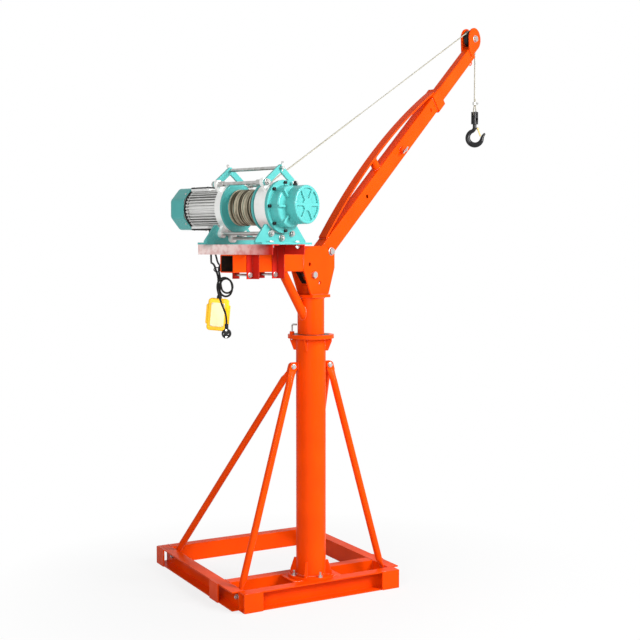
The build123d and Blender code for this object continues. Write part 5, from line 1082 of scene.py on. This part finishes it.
PLUG_DROP = 0.038
PLUG_NEAR = 0.013
PLUG_PIN_OUT = 0.0095
EARTH_SPRING_OUT = 0.0135
PIN_SLEEVE = ((0.0026, -0.0005), (0.0026, 0.0176), (0.0021, 0.0186), (0.0012, 0.0191))
EARTH_SPRING = ((0.0058, -0.0010, True), (0.0058, 0.0012, True), (0.0040, 0.0016, True))
RIM = ((0.0150, -0.0004), (0.0182, -0.0024), (0.0184, 0.0004), (0.0176, 0.0014), (0.0154, 0.0014))
GRIP = ((0.0182, -0.0180), (0.0187, -0.0176), (0.0187, -0.0164), (0.0182, -0.0160))
plug_face = from_tie(*POWER_LEAD_HANG[-1]) - UP * PLUG_DROP + view_near * PLUG_NEAR
plug_metal = []
for sign in (-1, 1):
    pin_root = plug_face + view_right * (sign * PLUG_PIN_OUT)
    plug_metal.append(turned(pin_root, view_near, PIN_SLEEVE, 16, False))
    spring_root = plug_face + UP * (sign * EARTH_SPRING_OUT)
    plug_metal.append(turned(spring_root, view_near, EARTH_SPRING, 12, False))
put("plug_pins", plug_metal, "zinc_steel", "upper")
put("plug_rim", [turned(plug_face, view_near, rows, 40) for rows in (RIM, GRIP)], "black_plastic", "upper")

# Screws of the pendant's panel

PENDANT_TILT = math.radians(-5.0)
PENDANT_GLAND = 0.0183
PANEL_SCREW_RIGHT = 0.0215
PANEL_SCREW_DROPS = (0.0215, 0.1045)
PANEL_SCREW_NEAR = 0.0245
PANEL_SCREW_R = 0.0026
pendant_up = UP * math.cos(PENDANT_TILT) - view_right * math.sin(PENDANT_TILT)
pendant_right = view_right * math.cos(PENDANT_TILT) + UP * math.sin(PENDANT_TILT)
pendant_top = from_tie(*PENDANT_CABLE_HANG[-1]) - pendant_up * PENDANT_GLAND
panel_screws = []
for right in (-PANEL_SCREW_RIGHT, PANEL_SCREW_RIGHT):
    for drop in PANEL_SCREW_DROPS:
        spot = pendant_top + pendant_right * right - pendant_up * drop + view_near * PANEL_SCREW_NEAR
        panel_screws.append(dome_screw(spot, view_near, PANEL_SCREW_R))
put("panel_screws", panel_screws, "zinc_steel", "upper")

# Stage: pale floor, soft light and the camera

FLOOR_HALF = 60.0
FLOOR_Z = -0.0004
floor_corners = [(FLOOR_HALF * x, FLOOR_HALF * y, 0) for x, y in ((-1, -1), (1, -1), (1, 1), (-1, 1))]
floor_mesh = bpy.data.meshes.new("floor")
floor_mesh.from_pydata(floor_corners, [], [(0, 1, 2, 3)])
floor = bpy.data.objects.new("floor", floor_mesh)
floor.location.z = FLOOR_Z
bpy.context.scene.collection.objects.link(floor)
pale = Finish("pale_floor")
seen = pale.add("LightPath", output="Is Camera Ray") + pale.add("LightPath", output="Is Glossy Ray")
seen = seen + pale.add("LightPath", output="Is Transmission Ray")
far_off = pale.add("VectorMath", {0: pale.place}, output="Value", operation="LENGTH")
# Whiter further off, so that only the ground by the crane holds a shadow
white_share = 0.80 + 0.20 * pale.steps(far_off, 0.5, 1.5)
matt = pale.add("BsdfDiffuse", {"Color": rgb(0.72, 0.72, 0.72)})
bright = pale.add("Emission", {"Color": rgb(1, 1, 1), "Strength": 1.0})
lit = pale.add("MixShader", {0: white_share * pale.add("Clamp", {0: seen}), 1: matt, 2: bright})
pale.add_output(lit)
floor_mesh.materials.append(pale.material)

# The sky lights the crane softly and shows as white
SOFT_SKY = 0.20
WHITE_SKY = 1.0
world = bpy.data.worlds.new("studio")
bpy.context.scene.world = world
world.use_nodes = True
tree = world.node_tree
tree.nodes.clear()
path = tree.nodes.new("ShaderNodeLightPath")
shown = path.outputs["Is Camera Ray"]
for ray in ("Is Glossy Ray", "Is Transmission Ray"):
    either = tree.nodes.new("ShaderNodeMath")
    either.operation = "MAXIMUM"
    tree.links.new(shown, either.inputs[0])
    tree.links.new(path.outputs[ray], either.inputs[1])
    shown = either.outputs[0]
both = tree.nodes.new("ShaderNodeMixShader")
tree.links.new(shown, both.inputs[0])
for entry, strength in ((1, SOFT_SKY), (2, WHITE_SKY)):
    backdrop = tree.nodes.new("ShaderNodeBackground")
    backdrop.inputs["Color"].default_value = rgb(1, 1, 1)
    backdrop.inputs["Strength"].default_value = strength
    tree.links.new(backdrop.outputs[0], both.inputs[entry])
sky_end = tree.nodes.new("ShaderNodeOutputWorld")
tree.links.new(both.outputs[0], sky_end.inputs["Surface"])


def softbox(name, place, aim, size, power):
    """A square soft light."""
    lamp = bpy.data.lights.new(name, "AREA")
    lamp.shape = "SQUARE"
    lamp.size = size
    lamp.energy = power
    holder = bpy.data.objects.new(name, lamp)
    holder.location = place
    holder.rotation_euler = (aim - place).to_track_quat("-Z", "Y").to_euler()
    bpy.context.scene.collection.objects.link(holder)


crane_middle = Vector((0.1, 0.1, 1.3))
softbox("key", crane_middle + view_right * 3.5 + view_near * 1.8 + UP * 1.7, crane_middle, size=2.0, power=280)
softbox("fill", crane_middle - view_right * 0.9 + view_near * 4.0 + UP * 0.7, crane_middle, size=1.8, power=92)

CAMERA_LENS = 63.48
CAMERA_PLACE = (-3.704, -3.028, 1.481)
CAMERA_DIP_DEG = 3.61
camera_data = bpy.data.cameras.new("camera")
camera_data.lens = CAMERA_LENS
camera_data.sensor_width = 36.0
camera = bpy.data.objects.new("camera", camera_data)
camera.location = CAMERA_PLACE
camera.rotation_euler = (math.radians(90 - CAMERA_DIP_DEG), 0, math.radians(-VIEW_DEG))
bpy.context.scene.collection.objects.link(camera)
bpy.context.scene.camera = camera
bpy.context.scene.view_settings.view_transform = "Standard"
